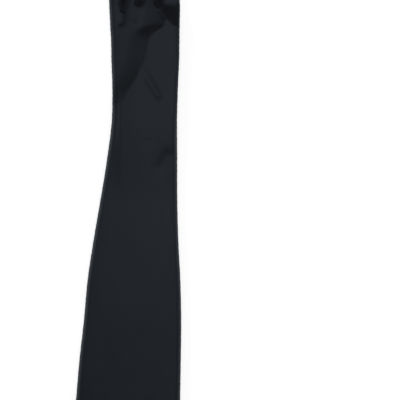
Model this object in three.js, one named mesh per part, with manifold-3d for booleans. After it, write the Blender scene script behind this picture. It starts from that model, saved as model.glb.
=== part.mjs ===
import * as THREE from "three";
import { mergeVertices } from "three/addons/utils/BufferGeometryUtils.js";
import Module from "manifold-3d";

// A long dress glove of black satin for the left hand, laid flat with its back up
// and its thumb tucked under the palm. Millimetres, with Z up. X runs from the
// little finger's side to the index finger's, and Y from the cuff to the fingertips.
// The origin is on the surface that the glove lies on, below the middle of its outline.

const LENGTH = 610; // from the cuff's edge to the tip of the middle finger
const CLOTH = 1.2; // thickness of the satin, with what it is turned and pressed with
const SEAM_GAP = 0.35; // between two pieces that are sewn together
const SIDE_ROUND = 7; // how far the rolled side edge reaches into the width
const CROWN = 0.8; // how much higher the back lies in the middle than at its sides
const FINGER_LOFT = 9.4; // height of a finger as it lies
const FINGER_CROWN = 0.48; // how much higher a finger's back lies in its middle
const HEM = { thick: 1.0, gap: 0.3 }; // cloth turned up inside the cuff, and its gap to the sleeve
const WEB_BULGE = 2.5; // how far the web between two fingers bulges towards the tips
const BEND_FROM = 470; // station from where the rows curve towards the knuckle line

// The flattened sleeve and hand. Station is the distance from the cuff's edge,
// little and index are the two side edges, and loft is the height of the tube.
const SLEEVE = [
  { station: 0, little: -65.9, index: 63.7, loft: 15 },
  { station: 62.8, little: -61.2, index: 64.7, loft: 12.6 },
  { station: 110.8, little: -57.1, index: 65.5, loft: 11.6 },
  { station: 158.8, little: -51.8, index: 66.0, loft: 11.0 },
  { station: 206.8, little: -47.4, index: 64.9, loft: 10.6 },
  { station: 254.8, little: -40.2, index: 62.5, loft: 10.4 },
  { station: 302.8, little: -32.0, index: 61.3, loft: 10.2 },
  { station: 350.8, little: -24.2, index: 61.2, loft: 10.0 },
  { station: 398.8, little: -18.1, index: 61.1, loft: 9.8 },
  { station: 422.8, little: -17.5, index: 61.7, loft: 9.8 },
  { station: 446.8, little: -17.9, index: 62.6, loft: 9.8 },
  { station: 470.8, little: -18.8, index: 63.7, loft: 9.8 },
  { station: 494.8, little: -19.2, index: 64.0, loft: 9.8 },
  { station: 518.8, little: -20.3, index: 64.3, loft: 9.8 },
  { station: 534.0, little: -20.9, index: 64.6, loft: 9.8 },
];

// The line across the hand where the fingers begin, which dips at each side.
const KNUCKLE_LINE = [
  { x: -21, station: 521 },
  { x: -2.4, station: 527 },
  { x: 15.6, station: 534.4 },
  { x: 38.4, station: 532 },
  { x: 64.6, station: 524 },
];
const KNUCKLES = 530; // the knuckle line's mean station
const CROTCHES = [-2.4, 15.6, 38.4]; // x of the three places where two fingers meet

// Each finger's centre and half its width near its base, halfway and near its tip.
const FINGERS = [
  { name: "little", tip: 580, x0: -12.9, half0: 8.1, x1: -14.0, half1: 8.0, x2: -15.4, half2: 7.3 },
  { name: "ring", tip: 601, x0: 5.8, half0: 6.9, x1: 6.0, half1: 8.1, x2: 5.8, half2: 7.5 },
  { name: "middle", tip: LENGTH, x0: 27, half0: 7.8, x1: 27.7, half1: 8.6, x2: 28.3, half2: 7.8 },
  { name: "index", tip: 599, x0: 52.4, half0: 12.2, x1: 53.3, half1: 10.6, x2: 54.4, half2: 8.9 },
];

// The thumb's outline as it lies under the palm, from its heel to its tip.
const THUMB_OUTLINE = [
  { station: 413, inner: 30, outer: 30, loft: 0 },
  { station: 415, inner: 23, outer: 38, loft: 3.4 },
  { station: 419, inner: 17, outer: 47, loft: 5.6 },
  { station: 427, inner: 11, outer: 54, loft: 6.8 },
  { station: 440, inner: 9, outer: 58, loft: 6.8 },
  { station: 454, inner: 14, outer: 59.5, loft: 6.8 },
  { station: 470, inner: 22, outer: 60.2, loft: 6.8 },
  { station: 486, inner: 25, outer: 60.4, loft: 6.8 },
  { station: 499, inner: 27, outer: 60, loft: 6.8 },
  { station: 508, inner: 30, outer: 57.6, loft: 6.4 },
  { station: 513, inner: 34, outer: 54, loft: 5.2 },
  { station: 515.5, inner: 38, outer: 50, loft: 3.2 },
  { station: 516.5, inner: 44, outer: 44, loft: 0 },
];
const THUMB_EDGE = 5; // how far the thumb's rolled edge reaches into its width
const THUMB_MOUTH = { x: 37, station: 448, halfWidth: 17, halfLength: 23, floor: 3.4, roof: 12.5 };

// The palm lies on the thumb, and the crease on the back follows the thumb's inner side.
const LIFT = 7.2;
const CREST = [
  { station: 418, x: -7 },
  { station: 431, x: -5.4 },
  { station: 452, x: 9.5 },
  { station: 471, x: 18.8 },
  { station: 501, x: 23.6 },
  { station: 513, x: 33.6 },
];
const SLOPE = { side: 26, tip: 26, heel: 50, tipStation: 513, heelStation: 416 };

// Shallow dents in the back, each along a line from one point to another.
const DENTS = [
  { name: "beside the thumb's tip", x0: 27, s0: 516, x1: 33, s1: 519, width: 7, depth: 1.0 },
  { name: "under the thumb's base", x0: 22, s0: 455, x1: 37, s1: 430, width: 6, depth: 0.7 },
  { name: "under the index finger", x0: 56, s0: 538, x1: 62, s1: 520, width: 9, depth: 1.1 },
  { name: "above the wrist", x0: 14, s0: 365, x1: 24, s1: 368, width: 5, depth: 0.5 },
  { name: "on the forearm", x0: 40, s0: 342, x1: 50, s1: 356, width: 8, depth: 0.7 },
];

const PER_FINGER = 4; // strips of cloth across each finger's back, and in the hand below it
const SIDE_STEPS = 3; // steps round each half of a rolled side edge, from a flat end to the seam
const TIP_STEPS = 2; // the same beside a fingertip, past the end of a fourchette
const GUSSET_STEPS = 2 * TIP_STEPS + 1; // steps round a fourchette
const THUMB_STEPS = { across: 5, edge: 4 };
const OVAL_STEPS = 20; // segments in each half of the thumb's mouth
const SLEEVE_ROWS = [0, 5, 11, 28, 55, 85, 115, 145, 175, 205, 235, 265, 295, 325, 352, 376];
const HAND_ROWS = [394, 408, 420, 431, 442, 453, 464, 475, 486, 496, 505, 513, 521, KNUCKLES];
const HEM_ROWS = 2; // rows of the sleeve that the hem is turned up behind
const FINGER_ROWS = [0.02, 0.06, 0.12, 0.2, 0.32, 0.46, 0.62, 0.76, 0.84, 0.845, 0.91, 0.96, 0.988];
const GUSSET_ROWS = 9; // rows of a finger that the fourchettes reach
const WIDE_AT = 0.12; // share of a finger's length at which the gap beside it is fully open
const SETTLED_AT = 0.3; // share at which a finger has its own height and edge
const SETTLED = { x: 0.5, half: 0.6 }; // how far it has then gone from its base to its middle
const MIDDLE_AT = 0.5; // share at which a finger has its middle width
const NEAR_TIP_AT = 0.82; // share at which a finger has the width near its tip
const FINGER_ROUND = { wide: 4, settled: 4.6, middle: 4.8, nearTip: 4.6 }; // of its rolled edges
const MOST_ROUND = { finger: 0.6, thumb: 0.4 }; // of half a finger's width, of the thumb's width
const TAPER = { width: 0.8, loft: 0.86 }; // shares from which the tip narrows and flattens
const MERGE_WITHIN = 1e-4; // points of one solid that lie this close are one point

const wasm = await Module();
wasm.setup();

// Smooth columns through a table's rows, read at any place along its key column.
function columnsOf(rows, key) {
  const names = Object.keys(rows[0]).filter((name) => name !== key);
  const places = rows.map((row) => row[key]);
  const values = rows.flatMap((row) => names.map((name) => row[name]));
  const curve = new THREE.CubicInterpolant(places, values, names.length, new Array(names.length));
  return (place) => {
    const found = curve.evaluate(place);
    return Object.fromEntries(names.map((name, i) => [name, found[i]]));
  };
}

const sleeveAt = columnsOf(SLEEVE, "station");
const knuckleAt = columnsOf(KNUCKLE_LINE, "x");
const crestAt = columnsOf(CREST, "station");
const smooth = (t) => THREE.MathUtils.smoothstep(t, 0, 1);
const { lerp, clamp } = THREE.MathUtils;

// Height of the palm's underside above the surface that the glove lies on.
function liftAt(x, station) {
  const beside = Math.max(0, crestAt(station).x - x) / SLOPE.side;
  const beyond = Math.max(0, station - SLOPE.tipStation) / SLOPE.tip;
  const away = Math.min(1, Math.hypot(beside, beyond));
  const heel = smooth((station - SLOPE.heelStation + SLOPE.heel) / SLOPE.heel);
  return LIFT * heel * (1 - away) ** 2;
}

function dentAt(x, station) {
  let depth = 0;
  for (const { x0, s0, x1, s1, width, depth: deepest } of DENTS) {
    const along = new THREE.Vector2(x1 - x0, s1 - s0);
    const from = new THREE.Vector2(x - x0, station - s0);
    const share = clamp(from.dot(along) / along.lengthSq(), 0, 1);
    const away = from.sub(along.multiplyScalar(share)).length() / width;
    depth += deepest * Math.exp(-(away ** 2));
  }
  return depth;
}

// The glove's outer surface: points, and triangles that each belong to a piece.
class Surface {
  points = [];
  faces = [];

  point(x, station, z) {
    return this.points.push(new THREE.Vector3(x, station, z)) - 1;
  }

  triangle(piece, a, b, c) {
    this.faces.push({ piece, corners: [a, b, c] });
  }

  quad(piece, a, b, c, d) {
    this.triangle(piece, a, b, c);
    this.triangle(piece, a, c, d);
  }

  // Joins two rings of as many points. piece(i) names the piece between points i and i + 1.
  band(lower, upper, piece) {
    lower.forEach((corner, i) => {
      const next = (i + 1) % lower.length;
      this.quad(piece(i), corner, lower[next], upper[next], upper[i]);
    });
  }

  cap(ring, pole, piece) {
    ring.forEach((corner, i) => this.triangle(piece, corner, ring[(i + 1) % ring.length], pole));
  }

  // Closes a fingertip with a fan on the back and a fan on the palm, and the seam between them.
  seamedCap(ring, poles, piece) {
    const count = ring.length;
    ring.forEach((corner, i) => {
      const next = ring[(i + 1) % count];
      const pole = poles[piece(i)];
      if (pole !== undefined) {
        this.triangle(piece(i), corner, next, pole);
        return;
      }
      const [before, after] = [i + count - 1, i + 1].map((k) => poles[piece(k % count)]);
      this.quad("seam", corner, next, after, before);
    });
  }

  normals() {
    const sums = this.points.map(() => new THREE.Vector3());
    for (const { corners } of this.faces) {
      const [a, b, c] = corners.map((i) => this.points[i]);
      const face = b.clone().sub(a).cross(c.clone().sub(a));
      corners.forEach((i) => sums[i].add(face));
    }
    // The two sides of a seam share one normal, so the gap keeps its width through the cloth.
    for (const { piece, corners } of this.faces) {
      if (piece !== "seam") continue;
      corners.forEach((a, i) => {
        const b = corners[(i + 1) % 3];
        const [kept, other] = [sums[a], sums[b]];
        if (kept === other || this.points[a].distanceTo(this.points[b]) > 2 * SEAM_GAP) return;
        kept.add(other);
        sums.forEach((sum, k) => {
          if (sum === other) sums[k] = kept;
        });
      });
    }
    return sums.map((sum) => sum.normalize());
  }

  // One piece's cloth as a closed solid between two depths under the outer surface.
  cloth(chosen, outerDepth, innerDepth) {
    const normals = this.normals();
    const faces = this.faces.filter(chosen).map(({ corners }) => corners);
    const used = [...new Set(faces.flat())];
    const place = new Map(used.map((corner, i) => [corner, i]));
    const layer = (depth) =>
      used.flatMap((i) => this.points[i].clone().addScaledVector(normals[i], -depth).toArray());
    const edges = new Set();
    const triangles = [];
    for (const [a, b, c] of faces) {
      const [i, j, k] = [a, b, c].map((corner) => place.get(corner));
      const inner = used.length;
      triangles.push(i, j, k, inner + i, inner + k, inner + j);
      for (const edge of [[i, j], [j, k], [k, i]]) edges.add(edge.join());
    }
    for (const edge of edges) {
      const [i, j] = edge.split(",").map(Number);
      if (edges.has([j, i].join())) continue;
      const [a, b] = [used.length + i, used.length + j];
      triangles.push(j, i, a, j, a, b);
    }
    const positions = [...layer(outerDepth), ...layer(innerDepth)];
    const geometry = new THREE.BufferGeometry();
    geometry.setAttribute("position", new THREE.Float32BufferAttribute(positions, 3));
    return geometry.setIndex(triangles);
  }
}

// Angles above the middle of the points round a side, evenly from the back to the palm.
const evenAngles = (reach, steps) =>
  Array.from({ length: steps + 1 }, (_, i) => lerp(reach, -reach, i / steps));

// The same, with two points close together in the middle, where the back meets the palm.
function seamedAngles(reach, steps, height) {
  const seam = Math.asin(Math.min(1, SEAM_GAP / height));
  const upper = Array.from({ length: steps + 1 }, (_, i) => lerp(reach, seam, i / steps));
  return [...upper, ...upper.toReversed().map((angle) => -angle)];
}

// Points of a rolled edge from the back round to the palm. The corner is where the
// edge begins, and side is 1 or -1.
function rolledEdge(surface, corner, side, round, angles) {
  const { x, station, top, bottom } = corner;
  return angles.map((angle) => {
    const z = lerp(bottom, top, (1 + Math.sin(angle)) / 2);
    return surface.point(x + side * round * Math.cos(angle), station, z);
  });
}

// Points of a side that is sewn in its middle, between its two flat ends.
function sewnEdge(surface, corner, side, round) {
  const angles = seamedAngles(Math.PI / 2, SIDE_STEPS, corner.top - corner.bottom);
  return rolledEdge(surface, corner, side, round, angles.slice(1, -1));
}

// Where the strips' edges lie across the hand, as shares of its flat width.
function stripShares() {
  const { little, index } = sleeveAt(KNUCKLES);
  const [left, right] = [little + SIDE_ROUND, index - SIDE_ROUND];
  const edges = [left, ...CROTCHES, right].map((x) => (x - left) / (right - left));
  return Array.from({ length: PER_FINGER * FINGERS.length + 1 }, (_, i) => {
    const finger = Math.min(FINGERS.length - 1, Math.floor(i / PER_FINGER));
    return lerp(edges[finger], edges[finger + 1], i / PER_FINGER - finger);
  });
}

// One ring round the sleeve or the hand: the back from the little finger's side to
// the index finger's, the rolled edge, the palm, and the other rolled edge.
function sleeveRing(surface, row) {
  const { little, index } = sleeveAt(row);
  const bend = smooth((row - BEND_FROM) / (KNUCKLES - BEND_FROM));
  const corners = stripShares().map((share) => {
    const x = lerp(little + SIDE_ROUND, index - SIDE_ROUND, share);
    const station = row + bend * (knuckleAt(x).station - KNUCKLES);
    const lift = liftAt(x, station);
    const top = lift + sleeveAt(row).loft;
    const crown = CROWN * Math.sin(Math.PI * share);
    return { x, station, bottom: lift, top, crown };
  });
  const back = corners.map(({ x, station, top, crown }) =>
    surface.point(x, station, top + crown - dentAt(x, station)),
  );
  const palm = corners.map(({ x, station, bottom }) => surface.point(x, station, bottom));
  const [left, right] = [-1, 1].map((side) => {
    return sewnEdge(surface, corners.at(side < 0 ? 0 : -1), side, SIDE_ROUND);
  });
  return { back, right, palm, left };
}

const pointsOf = ({ back, right, palm, left }) => [
  ...back,
  ...right,
  ...palm.toReversed(),
  ...left.toReversed(),
];

// Names the piece between points i and i + 1 of a ring. side(k, i, last) names it at step i
// of last round the left side, 0, or the right side, 1, counted in the ring's order.
function pieceNamer({ back, right, palm, left }, side) {
  const afterBack = back.length - 1;
  const afterRight = afterBack + right.length + 1;
  const afterPalm = afterRight + palm.length - 1;
  return (i) => {
    if (i < afterBack) return "back_panel";
    if (i < afterRight) return side(1, i - afterBack, right.length);
    if (i < afterPalm) return "palm_panel";
    return side(0, i - afterPalm, left.length);
  };
}

// The piece at step i of last round a side that is sewn in its middle.
function sewnSide(k, i, last) {
  if (i === last / 2) return "seam";
  return i < last / 2 === (k === 1) ? "back_panel" : "palm_panel";
}

// The web where two fingers meet, from the back to the palm.
function webPoints(surface, backPoint, palmPoint) {
  const top = surface.points[backPoint];
  const bottom = surface.points[palmPoint];
  return evenAngles(Math.PI / 2 - SEAM_GAP / WEB_BULGE, GUSSET_STEPS).map((angle) => {
    const z = lerp(bottom.z, top.z, (1 + Math.sin(angle)) / 2);
    return surface.point(top.x, top.y + WEB_BULGE * Math.cos(angle), z);
  });
}

// A finger's centre, half width and edge radius before its tip's taper, at a share v of
// its length.
function fingerCurve({ x0, half0, x1, half1, x2, half2 }) {
  const { wide, settled, middle, nearTip } = FINGER_ROUND;
  const [x, half] = [lerp(x0, x1, SETTLED.x), lerp(half0, half1, SETTLED.half)];
  const rows = [
    { v: WIDE_AT, x: x0, half: half0, round: wide },
    { v: SETTLED_AT, x, half, round: settled },
    { v: MIDDLE_AT, x: x1, half: half1, round: middle },
    { v: NEAR_TIP_AT, x: x2, half: half2, round: nearTip },
  ];
  return columnsOf(rows, "v");
}

const taper = (v, from) => Math.sqrt(1 - clamp((v - from) / (1 - from), 0, 1) ** 2);

// One ring round a finger, at the row's share of its length. sides[0] and sides[1] are what
// lies on its left and right: a web's points, or the rolled edge of the hand.
function fingerRow(surface, finger, curve, base, sides, row) {
  const v = FINGER_ROWS[row];
  const shape = curve(v);
  const half = shape.half * taper(v, TAPER.width);
  const open = Math.sqrt(1 - (1 - clamp(v / WIDE_AT, 0, 1)) ** 2);
  const settled = clamp(v / SETTLED_AT, 0, 1);
  const fingerLoft = FINGER_LOFT * taper(v, TAPER.loft);
  const sag = (FINGER_LOFT - fingerLoft) / 2;
  const loft = fingerLoft * lerp(sleeveAt(KNUCKLES).loft / FINGER_LOFT, 1, settled);
  const edge = Math.min(shape.round, MOST_ROUND.finger * half);
  const rounds = sides.map(({ web }) => (web ? edge * open : lerp(SIDE_ROUND, edge, settled)));
  const ends = [base.back[0], base.back.at(-1)].map((i) => surface.points[i].x);
  const flat = [shape.x - half + rounds[0], shape.x + half - rounds[1]];
  const [left, right] = flat.map((x, k) => lerp(ends[k], x, open));
  const corners = base.back.map((point, i) => {
    const share = i / PER_FINGER;
    const x = lerp(left, right, share);
    const station = lerp(surface.points[point].y, finger.tip, v);
    const bottom = liftAt(x, station) + sag;
    const crown = FINGER_CROWN * Math.sin(Math.PI * share) * (loft / FINGER_LOFT);
    return { x, station, bottom, top: bottom + loft, crown };
  });
  const back = corners.map(({ x, station, top, crown }) =>
    surface.point(x, station, top + crown - (1 - settled) * dentAt(x, station)),
  );
  const palm = corners.map(({ x, station, bottom }) => surface.point(x, station, bottom));
  const [leftEdge, rightEdge] = sides.map(({ web, points }, k) => {
    const [corner, side] = k ? [corners.at(-1), 1] : [corners[0], -1];
    const reach = Math.PI / 2 - Math.asin(Math.min(1, SEAM_GAP / rounds[k]));
    const angles =
      row < GUSSET_ROWS
        ? evenAngles(reach, GUSSET_STEPS)
        : seamedAngles(reach, TIP_STEPS, corner.top - corner.bottom);
    const made = web
      ? rolledEdge(surface, corner, side, rounds[k], angles)
      : sewnEdge(surface, corner, side, rounds[k]);
    made.forEach((point, i) => {
      surface.points[point].y = lerp(surface.points[points[i]].y, finger.tip, v);
    });
    return made;
  });
  return { back, right: rightEdge, palm, left: leftEdge };
}

function addFinger(surface, finger, base, sides) {
  const curve = fingerCurve(finger);
  const rows = FINGER_ROWS.map((_, row) => fingerRow(surface, finger, curve, base, sides, row));
  const start = { ...base, left: sides[0].points, right: sides[1].points };

  // Which piece lies round a side, in the band that ends at a row.
  const sideOf = (row) => (k, i, last) => {
    const { web } = sides[k];
    if (!web || row > GUSSET_ROWS) return sewnSide(k, i, last);
    return i === 0 || i === last || row === GUSSET_ROWS ? "seam" : web;
  };
  const rings = [start, ...rows].map(pointsOf);
  rings.slice(1).forEach((ring, row) => {
    surface.band(rings[row], ring, pieceNamer(start, sideOf(row)));
  });
  const { x } = curve(1);
  const poleAt = (side) => surface.point(x, finger.tip, (FINGER_LOFT + side * SEAM_GAP) / 2);
  const poles = { back_panel: poleAt(1), palm_panel: poleAt(-1) };
  surface.seamedCap(rings.at(-1), poles, pieceNamer(start, sewnSide));
}

// The whole outer surface of the sleeve, the hand and the four fingers.
function gloveSurface() {
  const surface = new Surface();
  const rings = [...SLEEVE_ROWS, ...HAND_ROWS].map((row) => sleeveRing(surface, row));
  rings.slice(1).forEach((ring, row) => {
    const first = surface.faces.length;
    surface.band(pointsOf(rings[row]), pointsOf(ring), pieceNamer(ring, sewnSide));
    if (row < HEM_ROWS) surface.faces.slice(first).forEach((face) => (face.hem = true));
  });
  const { back, palm, left, right } = rings.at(-1);
  const webs = CROTCHES.map((_, k) => {
    const i = (k + 1) * PER_FINGER;
    const name = `fourchette_${FINGERS[k].name}_${FINGERS[k + 1].name}`;
    return { web: name, points: webPoints(surface, back[i], palm[i]) };
  });
  const between = [{ points: left }, ...webs, { points: right }];
  FINGERS.forEach((finger, k) => {
    const strip = [k * PER_FINGER, (k + 1) * PER_FINGER + 1];
    const base = { back: back.slice(...strip), palm: palm.slice(...strip) };
    addFinger(surface, finger, base, [between[k], between[k + 1]]);
  });
  return surface;
}

// The thumb's outer surface: a flattened stall, closed at both ends.
function thumbSurface() {
  const surface = new Surface();
  const middle = Math.max(...THUMB_OUTLINE.map(({ loft }) => loft)) / 2;
  const poleOf = ({ station, inner }) => surface.point(inner, station, middle);
  const heel = poleOf(THUMB_OUTLINE[0]);
  const angles = evenAngles(Math.PI / 2, THUMB_STEPS.edge).slice(1, -1);
  const rings = THUMB_OUTLINE.slice(1, -1).map(({ station, inner, outer, loft }) => {
    const round = Math.min(THUMB_EDGE, MOST_ROUND.thumb * (outer - inner));
    const [top, bottom] = [middle + loft / 2, middle - loft / 2];
    const xs = Array.from({ length: THUMB_STEPS.across + 1 }, (_, i) =>
      lerp(inner + round, outer - round, i / THUMB_STEPS.across),
    );
    const [left, right] = [-1, 1].map((side) => {
      const corner = { x: xs.at(side < 0 ? 0 : -1), station, top, bottom };
      return rolledEdge(surface, corner, side, round, angles);
    });
    const back = xs.map((x) => surface.point(x, station, top));
    const palm = xs.map((x) => surface.point(x, station, bottom));
    return pointsOf({ back, right, palm, left });
  });
  const tip = poleOf(THUMB_OUTLINE.at(-1));
  rings.slice(1).forEach((ring, row) => surface.band(rings[row], ring, () => "thumb"));
  surface.cap(rings.at(-1), tip, "thumb");
  surface.cap(rings[0].toReversed(), heel, "thumb");
  return surface;
}

function solidOf(geometry) {
  const bare = new THREE.BufferGeometry();
  const flat = geometry.index ? geometry.toNonIndexed() : geometry;
  bare.setAttribute("position", flat.getAttribute("position"));
  const merged = mergeVertices(bare, MERGE_WITHIN);
  const mesh = new wasm.Mesh({
    numProp: 3,
    vertProperties: merged.attributes.position.array,
    triVerts: new Uint32Array(merged.index.array),
  });
  return new wasm.Manifold(mesh);
}

function geometryOf(solid) {
  const { vertProperties, triVerts } = solid.getMesh();
  const geometry = new THREE.BufferGeometry();
  geometry.setAttribute("position", new THREE.Float32BufferAttribute(vertProperties, 3));
  return geometry.setIndex([...triVerts]);
}

// The oval through the palm and the thumb's upper side, where the thumb is sewn in.
function thumbMouth() {
  const { x, station, halfWidth, halfLength, floor, roof } = THUMB_MOUTH;
  const oval = new THREE.Shape().absellipse(x, station, halfWidth, halfLength, 0, 2 * Math.PI);
  const options = { depth: roof - floor, bevelEnabled: false, curveSegments: OVAL_STEPS };
  return solidOf(new THREE.ExtrudeGeometry(oval, options).translate(0, 0, floor));
}

const satin = new THREE.MeshStandardMaterial({ color: 0x17191c, roughness: 0.42, metalness: 0 });
const gusset = new THREE.MeshStandardMaterial({ color: 0x121316, roughness: 0.5, metalness: 0 });

function pieceMesh(name, geometry, material) {
  const mesh = new THREE.Mesh(geometry, material);
  mesh.name = name;
  return mesh;
}

function buildGlove() {
  const glove = new THREE.Group();
  const body = gloveSurface();
  const mouth = thumbMouth();
  const cut = (geometry) => geometryOf(solidOf(geometry).subtract(mouth));
  const panel = (name) => body.cloth(({ piece }) => piece === name, 0, CLOTH);
  glove.add(pieceMesh("back_panel", panel("back_panel"), satin));
  glove.add(pieceMesh("palm_panel", cut(panel("palm_panel")), satin));

  const thumb = thumbSurface().cloth(() => true, 0, CLOTH);
  glove.add(pieceMesh("thumb", cut(thumb), satin));

  const names = new Set(body.faces.map(({ piece }) => piece));
  for (const name of names) {
    if (name.startsWith("fourchette")) glove.add(pieceMesh(name, panel(name), gusset));
  }

  const depth = CLOTH + HEM.gap;
  const hem = body.cloth(({ hem: turned }) => turned, depth, depth + HEM.thick);
  glove.add(pieceMesh("cuff_hem", hem, satin));

  glove.position.y = -LENGTH / 2;
  return glove;
}

export default buildGlove();
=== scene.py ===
"""A long dress glove of black satin for the left hand, laid flat with its back up.

The glove's sizes are in millimetres and become metres when a mesh is made. X runs from
the little finger's side to the index finger's, and a station is the distance from the
cuff's edge towards the fingertips. Z is up, and the glove lies on z = 0.
"""

from __future__ import annotations

import logging
import math
from dataclasses import dataclass, field
from enum import Enum
from typing import NamedTuple, Sequence

import bpy
import numpy as np
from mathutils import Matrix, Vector, kdtree, noise

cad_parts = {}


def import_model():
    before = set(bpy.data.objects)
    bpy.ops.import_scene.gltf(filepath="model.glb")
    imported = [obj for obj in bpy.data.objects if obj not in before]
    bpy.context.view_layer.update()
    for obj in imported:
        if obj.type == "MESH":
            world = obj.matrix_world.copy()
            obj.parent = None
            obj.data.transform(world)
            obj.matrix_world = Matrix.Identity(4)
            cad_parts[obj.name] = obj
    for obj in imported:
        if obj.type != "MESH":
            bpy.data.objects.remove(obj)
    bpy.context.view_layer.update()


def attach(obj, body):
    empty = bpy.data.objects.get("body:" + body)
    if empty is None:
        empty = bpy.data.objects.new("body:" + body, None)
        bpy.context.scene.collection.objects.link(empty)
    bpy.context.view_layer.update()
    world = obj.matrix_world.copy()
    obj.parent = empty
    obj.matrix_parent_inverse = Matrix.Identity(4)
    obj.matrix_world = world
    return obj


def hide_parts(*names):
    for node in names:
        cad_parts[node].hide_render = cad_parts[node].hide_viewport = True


LOG = logging.getLogger("glove")
BODY = "root"
MM = 0.001
LENGTH = 610.0
WEAVE_UV = "weave"
UV_SPAN = 100.0
BACK, PALM = "back_panel", "palm_panel"


class Slot(Enum):
    """The record's material slots."""

    SATIN = "satin"
    FOURCHETTE = "fourchette_satin"
    HEM = "hem_satin"


class Edge(Enum):
    """What runs along a side of the hand or of a finger."""

    SEAM = "side seam"
    WEB = "fourchette"


class Width(NamedTuple):
    """The flattened tube at one station: its two side edges and its height."""

    station: float
    little: float
    index: float
    loft: float


class Point(NamedTuple):
    """A place on a line that is read by its first value."""

    at: float
    value: float


class Finger(NamedTuple):
    """A finger's tip, and its centre and half width near its base, halfway and near its tip."""

    name: str
    tip: float
    x0: float
    half0: float
    x1: float
    half1: float
    x2: float
    half2: float


class Dent(NamedTuple):
    """A soft trough in the back of the glove, along a line from one point to another."""

    x0: float
    s0: float
    x1: float
    s1: float
    width: float
    depth: float


class Outline(NamedTuple):
    """The thumb's two edges and its height at one station."""

    station: float
    inner: float
    outer: float
    loft: float


SLEEVE = (
    Width(0, -65.9, 63.7, 15),
    Width(62.8, -61.2, 64.7, 12.6),
    Width(110.8, -57.1, 65.5, 11.6),
    Width(158.8, -51.8, 66.0, 11.0),
    Width(206.8, -47.4, 64.9, 10.6),
    Width(254.8, -40.2, 62.5, 10.4),
    Width(302.8, -32.0, 61.3, 10.2),
    Width(350.8, -24.2, 61.2, 10.0),
    Width(398.8, -18.1, 61.1, 9.8),
    Width(422.8, -17.5, 61.7, 9.8),
    Width(446.8, -17.9, 62.6, 9.8),
    Width(470.8, -18.8, 63.7, 9.8),
    Width(494.8, -19.2, 64.0, 9.8),
    Width(518.8, -20.3, 64.3, 9.8),
    Width(534.0, -20.9, 64.6, 9.8),
)
KNUCKLE_LINE = (
    Point(-21, 521),
    Point(-2.4, 527),
    Point(15.6, 534.4),
    Point(38.4, 532),
    Point(64.6, 524),
)
CREST = (
    Point(418, -7.5),
    Point(430, -1.8),
    Point(450, 11.4),
    Point(468, 19.8),
    Point(486, 24.4),
    Point(499, 28.2),
    Point(504, 32.0),
    Point(508, 38.0),
    Point(511, 43.0),
    Point(516, 45.5),
    Point(530, 46.0),
)
FINGERS = (
    Finger("little", 580, -12.9, 8.1, -14.0, 8.0, -15.4, 7.3),
    Finger("ring", 601, 5.8, 6.9, 6.0, 8.1, 5.8, 7.5),
    Finger("middle", LENGTH, 27.0, 7.8, 27.7, 8.6, 28.3, 7.8),
    Finger("index", 599, 52.4, 12.2, 53.3, 10.6, 54.4, 8.9),
)
# The crease over the thumb, the fold at the index finger's base and a dimple in the forearm
DENTS = (
    Dent(22, 455, 37, 430, 6, 0.7),
    Dent(48, 536, 66, 547, 9, 1.35),
    Dent(42, 342, 49, 356, 7, 1.1),
)
# Fine creases at the crotches, over the thumb and below the wrist
CREASES = (
    Dent(-3.5, 528, -6.5, 516, 4.2, 1.1),
    Dent(3, 524, 8, 520, 3.0, 0.3),
    Dent(40, 529, 45, 522, 3.0, 0.6),
    Dent(22, 527, 20, 515, 2.8, 0.3),
    Dent(25, 449, 39, 427, 3.4, 0.5),
    Dent(15, 366, 23, 368.5, 1.6, 0.4),
    Dent(18, 373, 32, 375, 2.0, 0.15),
    Dent(50, 458, 54, 463, 4.0, 0.3),
)
THUMB_OUTLINE = (
    Outline(413, 30, 30, 0),
    Outline(415, 23, 38, 3.4),
    Outline(419, 17, 47, 5.6),
    Outline(427, 11, 54, 6.8),
    Outline(440, 9, 58, 6.8),
    Outline(454, 14, 59.5, 6.8),
    Outline(470, 22, 60.2, 6.8),
    Outline(486, 25, 60.4, 6.8),
    Outline(499, 27, 60, 6.8),
    Outline(508, 30, 57.6, 6.4),
    Outline(513, 34, 54, 5.2),
    Outline(515.5, 38, 50, 3.2),
    Outline(516.5, 44, 44, 0),
)


class SmoothTable:
    """Smooth columns through a table's rows, read at any place along the first column."""

    def __init__(self, rows: Sequence[Sequence[float]]) -> None:
        """Works out the slopes at the rows.

        Args:
            rows: The table, whose first column grows from row to row.
        """
        table = np.array(rows, dtype=float)
        self.places, self.values = table[:, 0], table[:, 1:]
        steps = np.diff(self.values, axis=0) / np.diff(self.places)[:, None]
        self.slopes = np.vstack([steps[:1], (steps[:-1] + steps[1:]) / 2, steps[-1:]])

    def at(self, place: float | np.ndarray) -> np.ndarray:
        """Reads the columns.

        Args:
            place: Where to read, one place or an array of them.

        Returns:
            The columns' values, on the last axis.
        """
        t = np.clip(np.asarray(place, dtype=float), self.places[0], self.places[-1])
        upper = np.clip(np.searchsorted(self.places, t, side="right"), 1, len(self.places) - 1)
        start, step = self.places[upper - 1], self.places[upper] - self.places[upper - 1]
        p = ((t - start) / step)[..., None]
        rise = step[..., None]
        a, b = self.values[upper - 1], self.values[upper]
        ma, mb = self.slopes[upper - 1] * rise, self.slopes[upper] * rise
        cubic = (2 * a - 2 * b + ma + mb) * p**3
        return cubic + (3 * b - 3 * a - 2 * ma - mb) * p**2 + ma * p + a


def smooth(t: float | np.ndarray) -> np.ndarray:
    """Returns an ease from 0 to 1 as t goes from 0 to 1."""
    t = np.clip(t, 0.0, 1.0)
    return t * t * (3 - 2 * t)


def lerp(a: float | np.ndarray, b: float | np.ndarray, t: float | np.ndarray) -> np.ndarray:
    """Returns the value a share t of the way from a to b."""
    return a + (b - a) * t


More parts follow.
